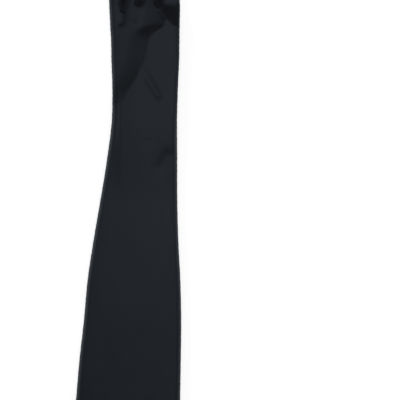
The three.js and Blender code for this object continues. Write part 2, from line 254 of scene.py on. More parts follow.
def trough(dents: Sequence[Dent], x: np.ndarray, station: np.ndarray) -> np.ndarray:
    """Adds up soft troughs.

    Args:
        dents: The troughs.
        x: Places across the glove.
        station: Places along it.

    Returns:
        The depth at each place.
    """
    depth = np.zeros(np.broadcast(x, station).shape)
    for dent in dents:
        dx, ds = dent.x1 - dent.x0, dent.s1 - dent.s0
        share = ((x - dent.x0) * dx + (station - dent.s0) * ds) / (dx * dx + ds * ds)
        share = np.clip(share, 0.0, 1.0)
        away = np.hypot(x - dent.x0 - share * dx, station - dent.s0 - share * ds) / dent.width
        depth += dent.depth * np.exp(-(away**2))
    return depth


@dataclass(frozen=True)
class Pattern:
    """The sizes of the glove as it lies."""

    # The flattened tube's rolled sides, and how its back swells
    side_round: float = 7.0
    crown: float = 0.8
    shoulder: float = 0.3
    shoulder_reach: float = 12.0
    # The fingers' heights, and the webs between them
    finger_crown: float = 0.48
    finger_loft: float = 9.4
    web_bulge: float = 2.5
    web_tongues: tuple[float, ...] = (18.0, 10.5, 13.0)
    # Where the rows bend to the knuckle line, and the places of the crotches
    bend_from: float = 470.0
    knuckles: float = 530.0
    crotches: tuple[float, ...] = (-2.4, 15.6, 38.4)
    # How high the thumb lifts the palm and the back, and how the hand slopes down beside it
    lift: float = 7.2
    back_lift: float = 5.2
    slope_side: float = 26.0
    slope_heel: float = 50.0
    back_heel: float = 120.0
    slope_from: float = 416.0
    slope_to: float = 516.0
    slope_turn: float = 1.0
    slope_middle: float = 53.0
    slope_tip: float = 34.0
    crest_round: float = 1.3
    # How a finger's shape changes, by shares of its length, and how round its edges are
    wide_at: float = 0.12
    settled_at: float = 0.3
    settled_shift: float = 0.5
    settled_growth: float = 0.6
    middle_at: float = 0.5
    near_tip_at: float = 0.82
    dented_from: float = 0.1
    dented_over: float = 0.35
    finger_rounds: tuple[float, ...] = (4.0, 4.6, 4.8, 4.6)
    most_round: float = 0.6
    narrows_at: float = 0.8
    flattens_at: float = 0.86
    sleeve: SmoothTable = field(default_factory=lambda: SmoothTable(SLEEVE))
    knuckle_line: SmoothTable = field(default_factory=lambda: SmoothTable(KNUCKLE_LINE))
    crest: SmoothTable = field(default_factory=lambda: SmoothTable(CREST))

    def past(self, distance: np.ndarray) -> np.ndarray:
        """Returns the distance where it is above 0, with the corner at 0 rounded off."""
        return (distance + np.sqrt(distance**2 + self.crest_round**2)) / 2

    def raised(self, x: np.ndarray, station: np.ndarray, heel: float) -> np.ndarray:
        """Gives how far the hand is raised by the thumb that it lies on.

        Args:
            x: Places across the glove.
            station: Places along it.
            heel: Over how long a stretch the hand rises from the wrist.

        Returns:
            A share from 0 to 1 at each place.
        """
        beside = self.past(self.crest.at(station)[..., 0] - x) / self.slope_side
        last = self.slope_to + self.slope_turn * (self.slope_middle - x)
        beyond = self.past(station - last) / self.slope_tip
        away = np.clip(np.hypot(beside, beyond), 0.0, 1.0)
        return smooth((station - self.slope_from + heel) / heel) * (1 - away) ** 2

    def palm_at(self, x: np.ndarray, station: np.ndarray) -> np.ndarray:
        """Returns the height of the palm's underside, which lies on the thumb."""
        return self.lift * self.raised(x, station, self.slope_heel)

    def back_at(self, x: np.ndarray, station: np.ndarray) -> np.ndarray:
        """Returns how much higher the back lies where the thumb is under it."""
        return self.back_lift * self.raised(x, station, self.back_heel)

    def crown_at(self, share: np.ndarray, width: float) -> np.ndarray:
        """Gives how the back swells in the middle and falls off at both sides.

        Args:
            share: Places across the back, from 0 to 1.
            width: The back's width.

        Returns:
            The height at each place, above the back's plain height.
        """
        fall = np.exp(-share * width / self.shoulder_reach)
        fall += np.exp(-(1 - share) * width / self.shoulder_reach)
        return self.crown * np.sin(math.pi * share) - self.shoulder * fall

    def gap_middle(self, web: int, station: np.ndarray) -> np.ndarray:
        """Gives the places halfway between the two fingers that a web joins.

        Args:
            web: The web's place between the fingers.
            station: Stations along the fingers.

        Returns:
            A place across the glove for each station.
        """
        edges = []
        for finger, side in zip(FINGERS[web : web + 2], (1, -1)):
            share = (station - self.knuckles) / (finger.tip - self.knuckles)
            centre, half, _ = self.finger_curve(finger).at(share).T
            edges.append(centre + side * half)
        return sum(edges) / 2

    def strip_shares(self, columns: int) -> np.ndarray:
        """Places the strips of cloth across the hand, as shares of its flat width.

        Args:
            columns: How many columns each finger's strip has.

        Returns:
            The shares, from the little finger's side to the index finger's.
        """
        little, index, _ = self.sleeve.at(self.knuckles)
        left, right = little + self.side_round, index - self.side_round
        edges = [(x - left) / (right - left) for x in (left, *self.crotches, right)]
        strips = [np.linspace(a, b, columns, endpoint=False) for a, b in zip(edges, edges[1:])]
        return np.concatenate([*strips, [1.0]])

    def finger_curve(self, finger: Finger) -> SmoothTable:
        """Gives a finger's centre, half width and edge radius along its length.

        Args:
            finger: The finger.

        Returns:
            A table read by the share of the finger's length.
        """
        wide, settled, middle, near_tip = self.finger_rounds
        x = lerp(finger.x0, finger.x1, self.settled_shift)
        half = lerp(finger.half0, finger.half1, self.settled_growth)
        rows = (
            (self.wide_at, finger.x0, finger.half0, wide),
            (self.settled_at, x, half, settled),
            (self.middle_at, finger.x1, finger.half1, middle),
            (self.near_tip_at, finger.x2, finger.half2, near_tip),
        )
        return SmoothTable(rows)


def taper(share: float, start: float) -> float:
    """Returns a round taper from 1 at the start to 0 at a finger's tip."""
    return math.sqrt(1 - min(1.0, max(0.0, (share - start) / (1 - start))) ** 2)


@dataclass(frozen=True)
class Grid:
    """How finely the cloth is divided."""

    columns: int = 14
    seam_side: int = 8
    seam_bias: float = 1.8
    lap: int = 6
    lap_bias: float = 1.7
    gusset: int = 14
    gusset_bias: float = 1.5
    row_step: float = 3.4
    hand_step: float = 1.5
    hand_from: float = 372.0
    web_rows: int = 7
    finger_step: float = 1.9
    tip_rows: int = 12
    row_clearance: float = 0.6
    end_step: float = 0.06

    def side_angles(self) -> np.ndarray:
        """Gives the angles of the points round a sewn side, from the back to the palm.

        Returns:
            The angles in radians, without the two flat ends, closest together at the seam.
        """
        t = np.linspace(1, -1, 2 * self.seam_side + 2)[1:-1]
        return np.sign(t) * np.abs(t) ** self.seam_bias * math.pi / 2

    def web_angles(self, reach: float, gap: float) -> np.ndarray:
        """Gives the angles of the points round a side that has a fourchette.

        Args:
            reach: Angle from the middle to the seam.
            gap: Angle between the two cloths at the seam.

        Returns:
            The angles in radians, from the back to the palm.
        """
        t = np.arange(1, self.lap + 1) / self.lap
        lap = lerp(reach, math.pi / 2, (1 - t) ** self.lap_bias)
        w = np.linspace(1, -1, self.gusset + 1)
        gusset = (reach - gap) * np.sign(w) * (1 - (1 - np.abs(w)) ** self.gusset_bias)
        return np.concatenate([lap, gusset, -lap[::-1]])

    def finger_shares(self, length: float, end: float) -> list[float]:
        """Gives the rows of a finger, close together at its web and its tip.

        Args:
            length: The finger's length.
            end: Share at which the fourchettes end.

        Returns:
            Shares of the length, growing, with a narrow step after the end.
        """
        wide, narrow = Pattern.wide_at, Pattern.narrows_at
        web = [wide * (1 - math.cos(a)) for a in np.linspace(0, math.pi / 2, self.web_rows + 1)[1:]]
        steps = round((narrow - wide) * length / self.finger_step)
        middle = list(np.linspace(wide, narrow, steps + 1)[1:])
        turns = np.linspace(0, math.pi / 2, self.tip_rows + 1)[1:-1]
        tip = [lerp(narrow, 1.0, math.sin(a)) for a in turns]
        clear = self.row_clearance / length
        rows = [v for v in web + middle + tip if abs(v - end) > clear]
        return sorted([*rows, end, end + self.end_step / length])


@dataclass
class Ring:
    """A closed row of points round the glove or a finger.

    It starts in the middle of the little finger's side and goes over the back, round the
    index finger's side and back under the palm.
    """

    index: np.ndarray
    uv: np.ndarray


@dataclass
class Parts:
    """The points of a ring by where they lie."""

    back: np.ndarray
    right: np.ndarray
    palm: np.ndarray
    left: np.ndarray

    def order(self) -> np.ndarray:
        """Puts the points in a ring's order.

        Returns:
            Their numbers.
        """
        half = (len(self.left) - 1) // 2
        upper, lower = self.left[half::-1], self.left[:half:-1]
        return np.concatenate([upper, self.back, self.right, self.palm[::-1], lower])

    def first_back(self) -> int:
        """Returns the place in the ring of the first point of the back."""
        return (len(self.left) - 1) // 2 + 1


class Skin:
    """The outer surface of a sewn piece: points, and faces that each belong to a piece."""

    def __init__(self) -> None:
        """Starts with no points."""
        self.points: list[np.ndarray] = []
        self.count = 0
        self.faces: list[tuple[int, ...]] = []
        self.labels: list[str] = []
        self.uvs: list[tuple[tuple[float, float], ...]] = []
        self.seams: list[np.ndarray] = []
        self.pairs: list[np.ndarray] = []

    def add(self, x: np.ndarray, station: np.ndarray, z: np.ndarray) -> np.ndarray:
        """Adds points.

        Args:
            x: Their places across the glove.
            station: Their places along it.
            z: Their heights.

        Returns:
            Their numbers.
        """
        block = np.stack(np.broadcast_arrays(x, station, z), axis=-1).astype(float)
        self.points.append(block)
        numbers = np.arange(self.count, self.count + len(block))
        self.count += len(block)
        return numbers

    def xyz(self) -> np.ndarray:
        """Returns all points as one array."""
        return np.concatenate(self.points)

    def ring(self, parts: Parts) -> Ring:
        """Makes a ring, with the cloth's own coordinates measured round it.

        Args:
            parts: The ring's points.

        Returns:
            The ring.
        """
        index = parts.order()
        xyz = self.xyz()[index]
        closed = np.vstack([xyz, xyz[:1]])
        steps = np.linalg.norm(np.diff(closed[:, [0, 2]], axis=0), axis=1)
        along = np.concatenate([[0], np.cumsum(steps)])
        start = parts.first_back()
        u = along - along[start] + closed[start, 0]
        return Ring(index, np.stack([u, closed[:, 1]], axis=-1) / UV_SPAN)

    def band(self, lower: Ring, upper: Ring, labels: Sequence[str]) -> None:
        """Joins two rings.

        Args:
            lower: The ring nearer to the cuff.
            upper: The ring nearer to the fingertips.
            labels: The piece that each stretch between two points belongs to.
        """
        count = len(lower.index)
        for i in range(count):
            j = (i + 1) % count
            corners = (lower.index[i], lower.index[j], upper.index[j], upper.index[i])
            uv = (lower.uv[i], lower.uv[i + 1], upper.uv[i + 1], upper.uv[i])
            self.faces.append(tuple(int(c) for c in corners))
            self.uvs.append(tuple((float(u), float(v)) for u, v in uv))
            self.labels.append(labels[i])

    def cap(
        self, ring: Ring, pole: int, top: tuple[float, float], labels: Sequence[str], turned: bool
    ) -> None:
        """Closes a ring with a fan of triangles.

        Args:
            ring: The ring.
            pole: The number of the point in the middle of the fan.
            top: The pole's place, across and along.
            labels: The piece that each triangle belongs to.
            turned: True for an end that faces the cuff.
        """
        count = len(ring.index)
        middle = (top[0] / UV_SPAN, top[1] / UV_SPAN)
        for i in range(count):
            j = (i + 1) % count
            corners = [int(ring.index[i]), int(ring.index[j]), pole]
            uv = [tuple(ring.uv[i]), tuple(ring.uv[i + 1]), middle]
            if turned:
                corners.reverse()
                uv.reverse()
            self.faces.append(tuple(corners))
            self.uvs.append(tuple(uv))
            self.labels.append(labels[i])

    def normals(self) -> np.ndarray:
        """Gives each point's outward direction, shared by both sides of a seam.

        Returns:
            One unit vector for each point.
        """
        xyz = self.xyz()
        sums = np.zeros_like(xyz)
        quads = np.array([f if len(f) == 4 else (*f, f[-1]) for f in self.faces])
        a, b, c, d = (xyz[quads[:, k]] for k in range(4))
        faces = np.cross(c - a, d - b)
        triangle = quads[:, 2] == quads[:, 3]
        faces[triangle] = np.cross(b - a, c - a)[triangle]
        for k in range(4):
            used = ~triangle if k == 3 else np.ones(len(quads), bool)
            np.add.at(sums, quads[used, k], faces[used])
        for pair in self.pairs:
            sums[pair] = sums[pair[:, ::-1]] + sums[pair]
        length = np.linalg.norm(sums, axis=1, keepdims=True)
        return sums / np.maximum(length, 1e-9)


@dataclass(frozen=True)
class Fourchette:
    """How the strip between two fingers is cut."""

    reach: float = math.radians(64)
    end_reach: float = math.radians(7)
    narrows: float = 0.5
    end: float = 0.84
    gap: float = 0.06
    sewn_at: float = 0.96
    clearance: float = 0.06
    swell_power: float = 0.7
    fill_until: float = 0.66
    tongue_until: float = 0.7
    tongue_drop: float = 4.0

    def reach_at(self, share: float) -> float:
        """Returns the angle from a side's middle to the seam, at a share of the finger."""
        fall = smooth((share - self.narrows) / (self.end - self.narrows))
        return float(lerp(self.reach, self.end_reach, fall))

    def swell(self, share: float, angles: np.ndarray) -> np.ndarray:
        """Gives the strip's round profile between its two seams.

        Args:
            share: The place along the finger.
            angles: The points' angles above the side's middle.

        Returns:
            A share from 0 at the seams to 1 at the middle.
        """
        inside = np.clip(1 - np.abs(angles) / (self.sewn_at * self.reach_at(share)), 0.0, 1.0)
        return np.sin(inside * math.pi / 2) ** self.swell_power

    def fill(self, share: float) -> float:
        """Returns how much of the room beside the finger the strip swells into."""
        return float(1 - smooth((share - Pattern.wide_at) / (self.fill_until - Pattern.wide_at)))


@dataclass
class GloveSkin:
    """The surface of the sleeve, the hand and the four fingers."""

    pattern: Pattern = field(default_factory=Pattern)
    grid: Grid = field(default_factory=Grid)
    fourchette: Fourchette = field(default_factory=Fourchette)
    fold_radius: float = 0.9
    hem_depth: float = 12.0
    topstitch: float = 10.6
    cuff_rows: tuple[float, ...] = (1.6, 2.6, 4.2, 6.0, 8.0)
    past_hem: float = 14.2
    sleeve_from: float = 17.0
    skin: Skin = field(default_factory=Skin)
    hem_rings: list[Ring] = field(default_factory=list)
    tongues: list[np.ndarray | float] = field(default_factory=lambda: [0.0])

    def rolled(
        self, x: float, bottom: float, top: float, side: int, reach: float, angles: np.ndarray
    ) -> tuple[np.ndarray, np.ndarray]:
        """Rolls a side of the flattened tube round from the back to the palm.

        Args:
            x: Where the roll begins.
            bottom: The palm's height there.
            top: The back's height there.
            side: -1 for the little finger's side and 1 for the index finger's.
            reach: How far the roll stands out.
            angles: The points' angles above the middle.

        Returns:
            The points' places across, and their heights.
        """
        return x + side * reach * np.cos(angles), lerp(bottom, top, (1 + np.sin(angles)) / 2)

    def hand_row(self, row: float) -> Parts:
        """Adds one row round the sleeve or the hand.

        Args:
            row: The row's station before it bends towards the knuckle line.

        Returns:
            The row's points.
        """
        p = self.pattern
        little, index, loft = p.sleeve.at(row)
        share = p.strip_shares(self.grid.columns)
        bend = smooth((row - p.bend_from) / (p.knuckles - p.bend_from))
        x = lerp(little + p.side_round, index - p.side_round, share)
        width = index - little - 2 * p.side_round
        station = row + bend * (p.knuckle_line.at(x)[:, 0] - p.knuckles)
        bottom = p.palm_at(x, station)
        top = p.back_at(x, station) + loft
        top += p.crown_at(share, width) - trough(DENTS, x, station)
        angles = self.grid.side_angles()
        sides = []
        for side, place in ((-1, 0), (1, -1)):
            roll = self.rolled(x[place], bottom[place], top[place], side, p.side_round, angles)
            sides.append(self.skin.add(roll[0], np.full(len(angles), station[place]), roll[1]))
        back = self.skin.add(x, station, top)
        palm = self.skin.add(x, station, bottom)
        return Parts(back, sides[1], palm, sides[0])

    def web_row(self, top: int, bottom: int, reach: float) -> np.ndarray:
        """Adds the arc where two fingers meet, from the back to the palm.

        Args:
            top: The number of the crotch's point on the back.
            bottom: The number of its point on the palm.
            reach: How far the web's middle stands out between the fingers.

        Returns:
            The arc's points.
        """
        xyz = self.skin.xyz()
        (x, station, high), low = xyz[top], xyz[bottom][2]
        angles = self.web_angles(0.0, self.pattern.web_bulge)
        z = lerp(low, high, (1 + np.sin(angles)) / 2)
        profile = self.fourchette.swell(0.0, angles) ** self.fourchette.tongue_drop
        self.tongues.append(reach * profile)
        ys = station + self.pattern.web_bulge * np.cos(angles) + self.tongues[-1]
        return self.skin.add(np.full(len(angles), x), ys, z)

    def web_angles(self, share: float, radius: float) -> np.ndarray:
        """Returns the angles of a fourchette's side at a share of the finger's length."""
        return self.grid.web_angles(self.fourchette.reach_at(share), self.fourchette.gap / radius)

    def finger_row(
        self, k: int, curve: SmoothTable, base: Parts, edges: Sequence[Edge], share: float
    ) -> Parts:
        """Adds one row round a finger.

        Args:
            k: The finger's place in the table.
            curve: Its centre, half width and edge radius.
            base: The points at the knuckles that the finger grows from.
            edges: What runs along its left and its right side.
            share: The row's place, as a share of the finger's length.

        Returns:
            The row's points.
        """
        p, finger = self.pattern, FINGERS[k]
        xyz = self.skin.xyz()
        centre, half, rounding = curve.at(share)
        half *= taper(share, p.narrows_at)
        opened = math.sqrt(1 - (1 - min(1.0, share / p.wide_at)) ** 2)
        settled = min(1.0, share / p.settled_at)
        full_loft = p.finger_loft * taper(share, p.flattens_at)
        sag = (p.finger_loft - full_loft) / 2
        base_loft = p.sleeve.at(p.knuckles)[2]
        loft = full_loft * lerp(base_loft / p.finger_loft, 1.0, settled)
        round_ = min(rounding, p.most_round * half)
        rounds = [
            round_ * opened if edge is Edge.WEB else lerp(p.side_round, round_, settled)
            for edge in edges
        ]
        ends = xyz[base.back[[0, -1]], 0]
        corners = []
        for j, side in enumerate((-1, 1)):
            start = ends[j] + (0.0 if edges[j] is Edge.WEB else side * p.side_round)
            corners.append(lerp(start, centre + side * half, opened) - side * rounds[j])
        across = np.linspace(0, 1, len(base.back))
        x = lerp(*corners, across)
        line = p.knuckle_line.at(x)[:, 0]
        station = lerp(line, finger.tip, share)
        bottom = p.palm_at(x, station) + sag
        little, index, _ = p.sleeve.at(p.knuckles)
        width = index - little - 2 * p.side_round
        hand = p.crown_at(np.clip((x - little - p.side_round) / width, 0.0, 1.0), width)
        own = p.finger_crown * np.sin(math.pi * across) * loft / p.finger_loft
        top = p.back_at(x, station) + sag + loft + lerp(hand, own, smooth(settled))
        dented = 1 - smooth((share - p.dented_from) / p.dented_over)
        top -= dented * trough(DENTS, x, station)
        sides = []
        for j, edge in enumerate(edges):
            place, side = (-1, 1) if j else (0, -1)
            angles = self.grid.side_angles()
            if edge is Edge.WEB:
                angles = self.web_angles(share, max(rounds[j], p.web_bulge))
            roll = self.rolled(x[place], bottom[place], top[place], side, rounds[j], angles)
            tongue = self.tongues[k + j]
            moved = line[place] - xyz[base.back[place], 1]
            below = xyz[(base.left, base.right)[j], 1] - tongue + moved
            left_over = 1 - smooth(share / self.fourchette.tongue_until)
            ys = lerp(below, finger.tip, share) + tongue * left_over
            if edge is Edge.WEB:
                web = k + j - 1
                middle = lerp(p.crotches[web], p.gap_middle(web, ys), opened)
                room = side * (middle - x[place]) - rounds[j] - self.fourchette.clearance
                filled = np.clip(room, 0.0, None) * self.fourchette.fill(share)
                roll[0][:] += side * filled * self.fourchette.swell(share, angles)
            sides.append(self.skin.add(roll[0], ys, roll[1]))
        back = self.skin.add(x, station, top)
        palm = self.skin.add(x, station, bottom)
        return Parts(back, sides[1], palm, sides[0])

    def labels(
        self, parts: Parts, webs: Sequence[str] = ("", ""), end_gap: bool = False
    ) -> list[str]:
        """Names the piece between each two points of a ring.

        Args:
            parts: The ring's points.
            webs: The fourchettes on the left and the right, or "" for none.
            end_gap: True for the narrow step after the fourchettes' ends.

        Returns:
            The names, in the ring's order.
        """
        marks = []
        lap, gusset = self.grid.lap, self.grid.gusset + 1
        for points, web in ((parts.left, webs[0]), (parts.right, webs[1])):
            upper = (len(points) + 1) // 2
            sides = [BACK] * upper + [PALM] * (len(points) - upper)
            if web:
                sides[lap : lap + gusset] = [web] * gusset
            marks.append(sides)
        half = (len(parts.left) - 1) // 2
        upper, lower = marks[0][half::-1], marks[0][:half:-1]
        ring = [*upper, *[BACK] * len(parts.back), *marks[1], *[PALM] * len(parts.palm), *lower]
        named = [a if a == b else "seam" for a, b in zip(ring, [*ring[1:], ring[0]])]
        return ["seam" if end_gap and name not in (BACK, PALM) else name for name in named]

    def add_finger(self, k: int, base: Parts, edges: Sequence[Edge], webs: Sequence[str]) -> None:
        """Adds one finger, from the knuckles to its tip.

        Args:
            k: The finger's place in the table.
            base: The points at the knuckles that it grows from.
            edges: What runs along its left and its right side.
            webs: The fourchettes on its left and its right, or "" for none.
        """
        finger = FINGERS[k]
        curve = self.pattern.finger_curve(finger)
        length = finger.tip - self.pattern.knuckles
        end = self.fourchette.end
        shares = self.grid.finger_shares(length, end)
        rows = [base, *(self.finger_row(k, curve, base, edges, v) for v in shares)]
        rings = [self.skin.ring(parts) for parts in rows]
        for lower, upper, share in zip(range(len(rings)), range(1, len(rings)), shares):
            past = share > end
            names = ("", "") if past and shares[lower - 1] > end else webs
            gap = past and names is webs
            self.skin.band(rings[lower], rings[upper], self.labels(rows[upper], names, gap))
        centre = float(curve.at(1.0)[0])
        pole = self.skin.add(np.array([centre]), finger.tip, self.pattern.finger_loft / 2)
        top = (centre, finger.tip)
        self.skin.cap(rings[-1], int(pole[0]), top, self.labels(rows[-1]), turned=False)
        lap, last = self.grid.lap, self.grid.lap + self.grid.gusset
        past = [i for i, v in enumerate([0.0, *shares]) if v > end][0]
        for side, web in (("left", webs[0]), ("right", webs[1])):
            lines = np.array([getattr(parts, side) for parts in rows])
            half = (lines.shape[1] - 1) // 2
            if web:
                kept = lines[:past]
                self.skin.pairs += [kept[:, [lap - 1, lap]], kept[:, [last, last + 1]]]
                self.skin.seams += [kept[:, lap - 1], kept[:, last + 1]]
            sewn = lines[past if web else 0 :]
            self.skin.pairs.append(sewn[:, [half, half + 1]])
            self.skin.seams.append(np.append(sewn[:, half], pole))

    def build(self) -> None:
        """Adds the sleeve, the hand and the fingers."""
        grid, p = self.grid, self.pattern
        near = [self.fold_radius, *self.cuff_rows, self.topstitch, self.hem_depth, self.past_hem]
        steps = round((grid.hand_from - self.sleeve_from) / grid.row_step)
        sleeve = np.linspace(self.sleeve_from, grid.hand_from, steps + 1)
        steps = round((p.knuckles - grid.hand_from) / grid.hand_step)
        hand = np.linspace(grid.hand_from, p.knuckles, steps + 1)[1:]
        rows = [self.hand_row(row) for row in (*near, *sleeve, *hand)]
        rings = [self.skin.ring(parts) for parts in rows]
        for lower, upper in zip(rings, rings[1:]):
            self.skin.band(lower, upper, self.labels(rows[0]))
        half = grid.seam_side - 1
        for side in ("left", "right"):
            lines = np.array([getattr(parts, side)[half : half + 2] for parts in rows])
            self.skin.pairs.append(lines)
            self.skin.seams.append(lines[:, 0])
        self.hem_rings = rings[: len(near)]
        base, n = rows[-1], grid.columns
        ends = [base.left]
        for k, reach in enumerate(p.web_tongues, start=1):
            ends.append(self.web_row(base.back[k * n], base.palm[k * n], reach))
        ends.append(base.right)
        self.tongues.append(0.0)
        names = ["", *(f"fourchette_{a.name}_{b.name}" for a, b in zip(FINGERS, FINGERS[1:])), ""]
        kinds = [Edge.SEAM, Edge.WEB, Edge.WEB, Edge.WEB, Edge.SEAM]
        for k in range(len(FINGERS)):
            strip = slice(k * n, (k + 1) * n + 1)
            parts = Parts(base.back[strip], ends[k + 1], base.palm[strip], ends[k])
            self.add_finger(k, parts, kinds[k : k + 2], names[k : k + 2])


@dataclass(frozen=True)
class Relief:
    """What sewing and wear do to the cloth: sunk seams, puckers, creases and slow waves."""

    groove: float = 0.55
    groove_reach: float = 0.6
    stitch_groove: float = 0.22
    pucker: float = 0.16
    pucker_pitch: float = 6.4
    pucker_reach: float = 3.2
    beat_share: float = 0.6
    beat_pitch: float = 2.7
    beat_shift: float = 1.3
    wave: float = 0.3
    wave_across: float = 34.0
    wave_along: float = 85.0
    ripple: float = 0.4
    ripple_scale: float = 2.7
    seam_step: float = 0.4

    def trace(self, lines: Sequence[np.ndarray]) -> tuple[kdtree.KDTree, np.ndarray]:
        """Spreads points evenly along lines.

        Args:
            lines: The lines' corners.

        Returns:
            A tree of the points, and each point's distance along its line.
        """
        spread, along = [], []
        for line in lines:
            steps = np.linalg.norm(np.diff(line, axis=0), axis=1)
            run = np.concatenate([[0], np.cumsum(steps)])
            at = np.unique(np.concatenate([run, np.arange(0, run[-1], self.seam_step)]))
            spread.append(np.stack([np.interp(at, run, line[:, k]) for k in range(3)], axis=-1))
            along.append(at)
        points = np.concatenate(spread)
        tree = kdtree.KDTree(len(points))
        for i, point in enumerate(points):
            tree.insert(point, i)
        tree.balance()
        return tree, np.concatenate(along)

    def near(self, xyz: np.ndarray, lines: Sequence[np.ndarray]) -> tuple[np.ndarray, np.ndarray]:
        """Measures the way from points to lines.

        Args:
            xyz: The points.
            lines: The lines' corners.

        Returns:
            Each point's distance to the nearest line, and how far along it that is.
        """
        tree, along = self.trace(lines)
        found = [tree.find(point) for point in xyz]
        away = np.array([distance for _, _, distance in found])
        return away, along[[i for _, i, _ in found]]

    def sewn(self, xyz: np.ndarray, lines: Sequence[np.ndarray], groove: float) -> np.ndarray:
        """Sinks the cloth along seams, and puckers it a little.

        Args:
            xyz: The points.
            lines: The seams.
            groove: How deep the cloth sinks at the seam.

        Returns:
            How far each point goes inwards.
        """
        away, along = self.near(xyz, lines)
        sunk = groove * np.exp(-away / self.groove_reach)
        beat = np.sin(2 * math.pi * along / self.pucker_pitch)
        slower = self.beat_pitch * self.pucker_pitch
        beat += self.beat_share * np.sin(2 * math.pi * along / slower + self.beat_shift)
        pucker = self.pucker * (groove / self.groove) * (1 + beat) * np.exp(-away / self.pucker_reach)
        return sunk + pucker * (1 - np.exp(-away / self.groove_reach))

    def waves(self, xyz: np.ndarray, normals: np.ndarray) -> np.ndarray:
        """Gives the slow waves of cloth that lies by itself. The palm only goes up.

        Args:
            xyz: The points.
            normals: Their outward directions.

        Returns:
            How far each point goes inwards.
        """
        across, along = xyz[:, 0] / self.wave_across, xyz[:, 1] / self.wave_along
        places = np.stack([across, along, np.sign(normals[:, 2])], axis=-1)
        slow = np.array([noise.noise(Vector(place)) for place in places])
        fine = np.array([noise.noise(Vector(place * self.ripple_scale)) for place in places])
        sum_ = self.wave * (slow + self.ripple * fine)
        up = np.clip(normals[:, 2], 0.0, 1.0)
        down = np.clip(-normals[:, 2], 0.0, 1.0)
        return up * sum_ + down * np.abs(sum_)

    def apply(
        self, skin: Skin, seams: Sequence[np.ndarray], stitched: Sequence[np.ndarray]
    ) -> tuple[np.ndarray, np.ndarray]:
        """Works out a skin's final outer surface.

        Args:
            skin: The skin.
            seams: Point numbers along each seam.
            stitched: Point numbers along each line of topstitching.

        Returns:
            The points, and their outward directions.
        """
        xyz, normals = skin.xyz(), skin.normals()
        inwards = self.waves(xyz, normals)
        inwards += self.sewn(xyz, [xyz[line] for line in seams], self.groove)
        if stitched:
            inwards += self.sewn(xyz, [xyz[line] for line in stitched], self.stitch_groove)
        moved = xyz - normals * inwards[:, None]
        up = np.clip(normals[:, 2], 0.0, 1.0)
        moved[:, 2] -= up * trough(CREASES, xyz[:, 0], xyz[:, 1])
        return moved, normals


def in_metres(points: np.ndarray) -> np.ndarray:
    """Returns points in the model's frame and in metres."""
    return (points - np.array([0.0, LENGTH / 2, 0.0])) * MM


@dataclass
class ClothMesh:
    """A piece of cloth with a real thickness, as one closed mesh."""

    outer: np.ndarray
    inner: np.ndarray
    faces: list[tuple[int, ...]]
    uvs: list[tuple[tuple[float, float], ...]]

    def object(self, name: str, materials: Sequence[bpy.types.Material]) -> bpy.types.Object:
        """Makes the mesh and its object.

        Args:
            name: The object's name.
            materials: The face's finish and the reverse's.

        Returns:
            The object.
        """
        used = np.unique(np.concatenate([np.array(face) for face in self.faces]))
        place = {int(old): new for new, old in enumerate(used)}
        faces = [tuple(place[i] for i in face) for face in self.faces]
        count = len(used)
        uvs, kinds = list(self.uvs), [0] * len(faces)
        sides: dict[tuple[int, int], tuple[tuple[float, float], tuple[float, float]]] = {}
        for face, uv in zip(faces, self.uvs):
            for k in range(len(face)):
                after = (k + 1) % len(face)
                sides[face[k], face[after]] = (uv[k], uv[after])
        inner = [tuple(count + i for i in reversed(face)) for face in faces]
        uvs += [tuple(reversed(uv)) for uv in self.uvs]
        kinds += [1] * len(inner)
        rim = []
        for (a, b), (ua, ub) in sides.items():
            if (b, a) not in sides:
                rim.append((b, a, count + a, count + b))
                uvs.append((ub, ua, ua, ub))
        kinds += [0] * len(rim)
        points = np.vstack([self.outer[used], self.inner[used]])
        return mesh_object(name, in_metres(points), faces + inner + rim, materials, kinds, uvs)


def mesh_object(
    name: str,
    points: np.ndarray,
    faces: Sequence[tuple[int, ...]],
    materials: Sequence[bpy.types.Material],
    kinds: Sequence[int] = (),
    uvs: Sequence[tuple[tuple[float, float], ...]] = (),
) -> bpy.types.Object:
    """Makes a smooth mesh object at the origin.

    Args:
        name: The object's name.
        points: The points, in metres.
        faces: The faces' corners.
        materials: The object's materials.
        kinds: Each face's material, where there are several.
        uvs: Each face's corners in the cloth's own coordinates, where it has them.

    Returns:
        The object.
    """
    mesh = bpy.data.meshes.new(name)
    mesh.from_pydata(points.tolist(), [], [list(face) for face in faces])
    for material in materials:
        mesh.materials.append(material)
    if len(kinds):
        mesh.polygons.foreach_set("material_index", list(kinds))
    if len(uvs):
        layer = mesh.uv_layers.new(name=WEAVE_UV)
        flat = [value for face in uvs for corner in face for value in corner]
        layer.data.foreach_set("uv", flat)
    mesh.shade_smooth()
    mesh.update()
    made = bpy.data.objects.new(name, mesh)
    bpy.context.scene.collection.objects.link(made)
    return made


def dress(piece: bpy.types.Object, slot: Slot, *nodes: str) -> bpy.types.Object:
    """Parents a piece to the body, hides the model's nodes that it stands for and logs its material
    slot.

    Args:
        piece: The piece.
        slot: The record's material slot.
        nodes: The model's nodes that it stands for.

    Returns:
        The piece.
    """
    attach(piece, BODY)
    if nodes:
        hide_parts(*nodes)
    LOG.info("%s: %d faces, slot %s", piece.name, len(piece.data.polygons), slot.value)
    return piece


def link(tree: bpy.types.NodeTree, start: bpy.types.NodeSocket, end: bpy.types.NodeSocket) -> None:
    """Joins two sockets of a node tree."""
    tree.links.new(start, end)


def new_material(name: str) -> tuple[bpy.types.Material, bpy.types.ShaderNode]:
    """Makes a material with one main shader.

    Args:
        name: The material's name.

    Returns:
        The material and its main shader.
    """
    material = bpy.data.materials.new(name)
    material.use_nodes = True
    return material, material.node_tree.nodes["Principled BSDF"]


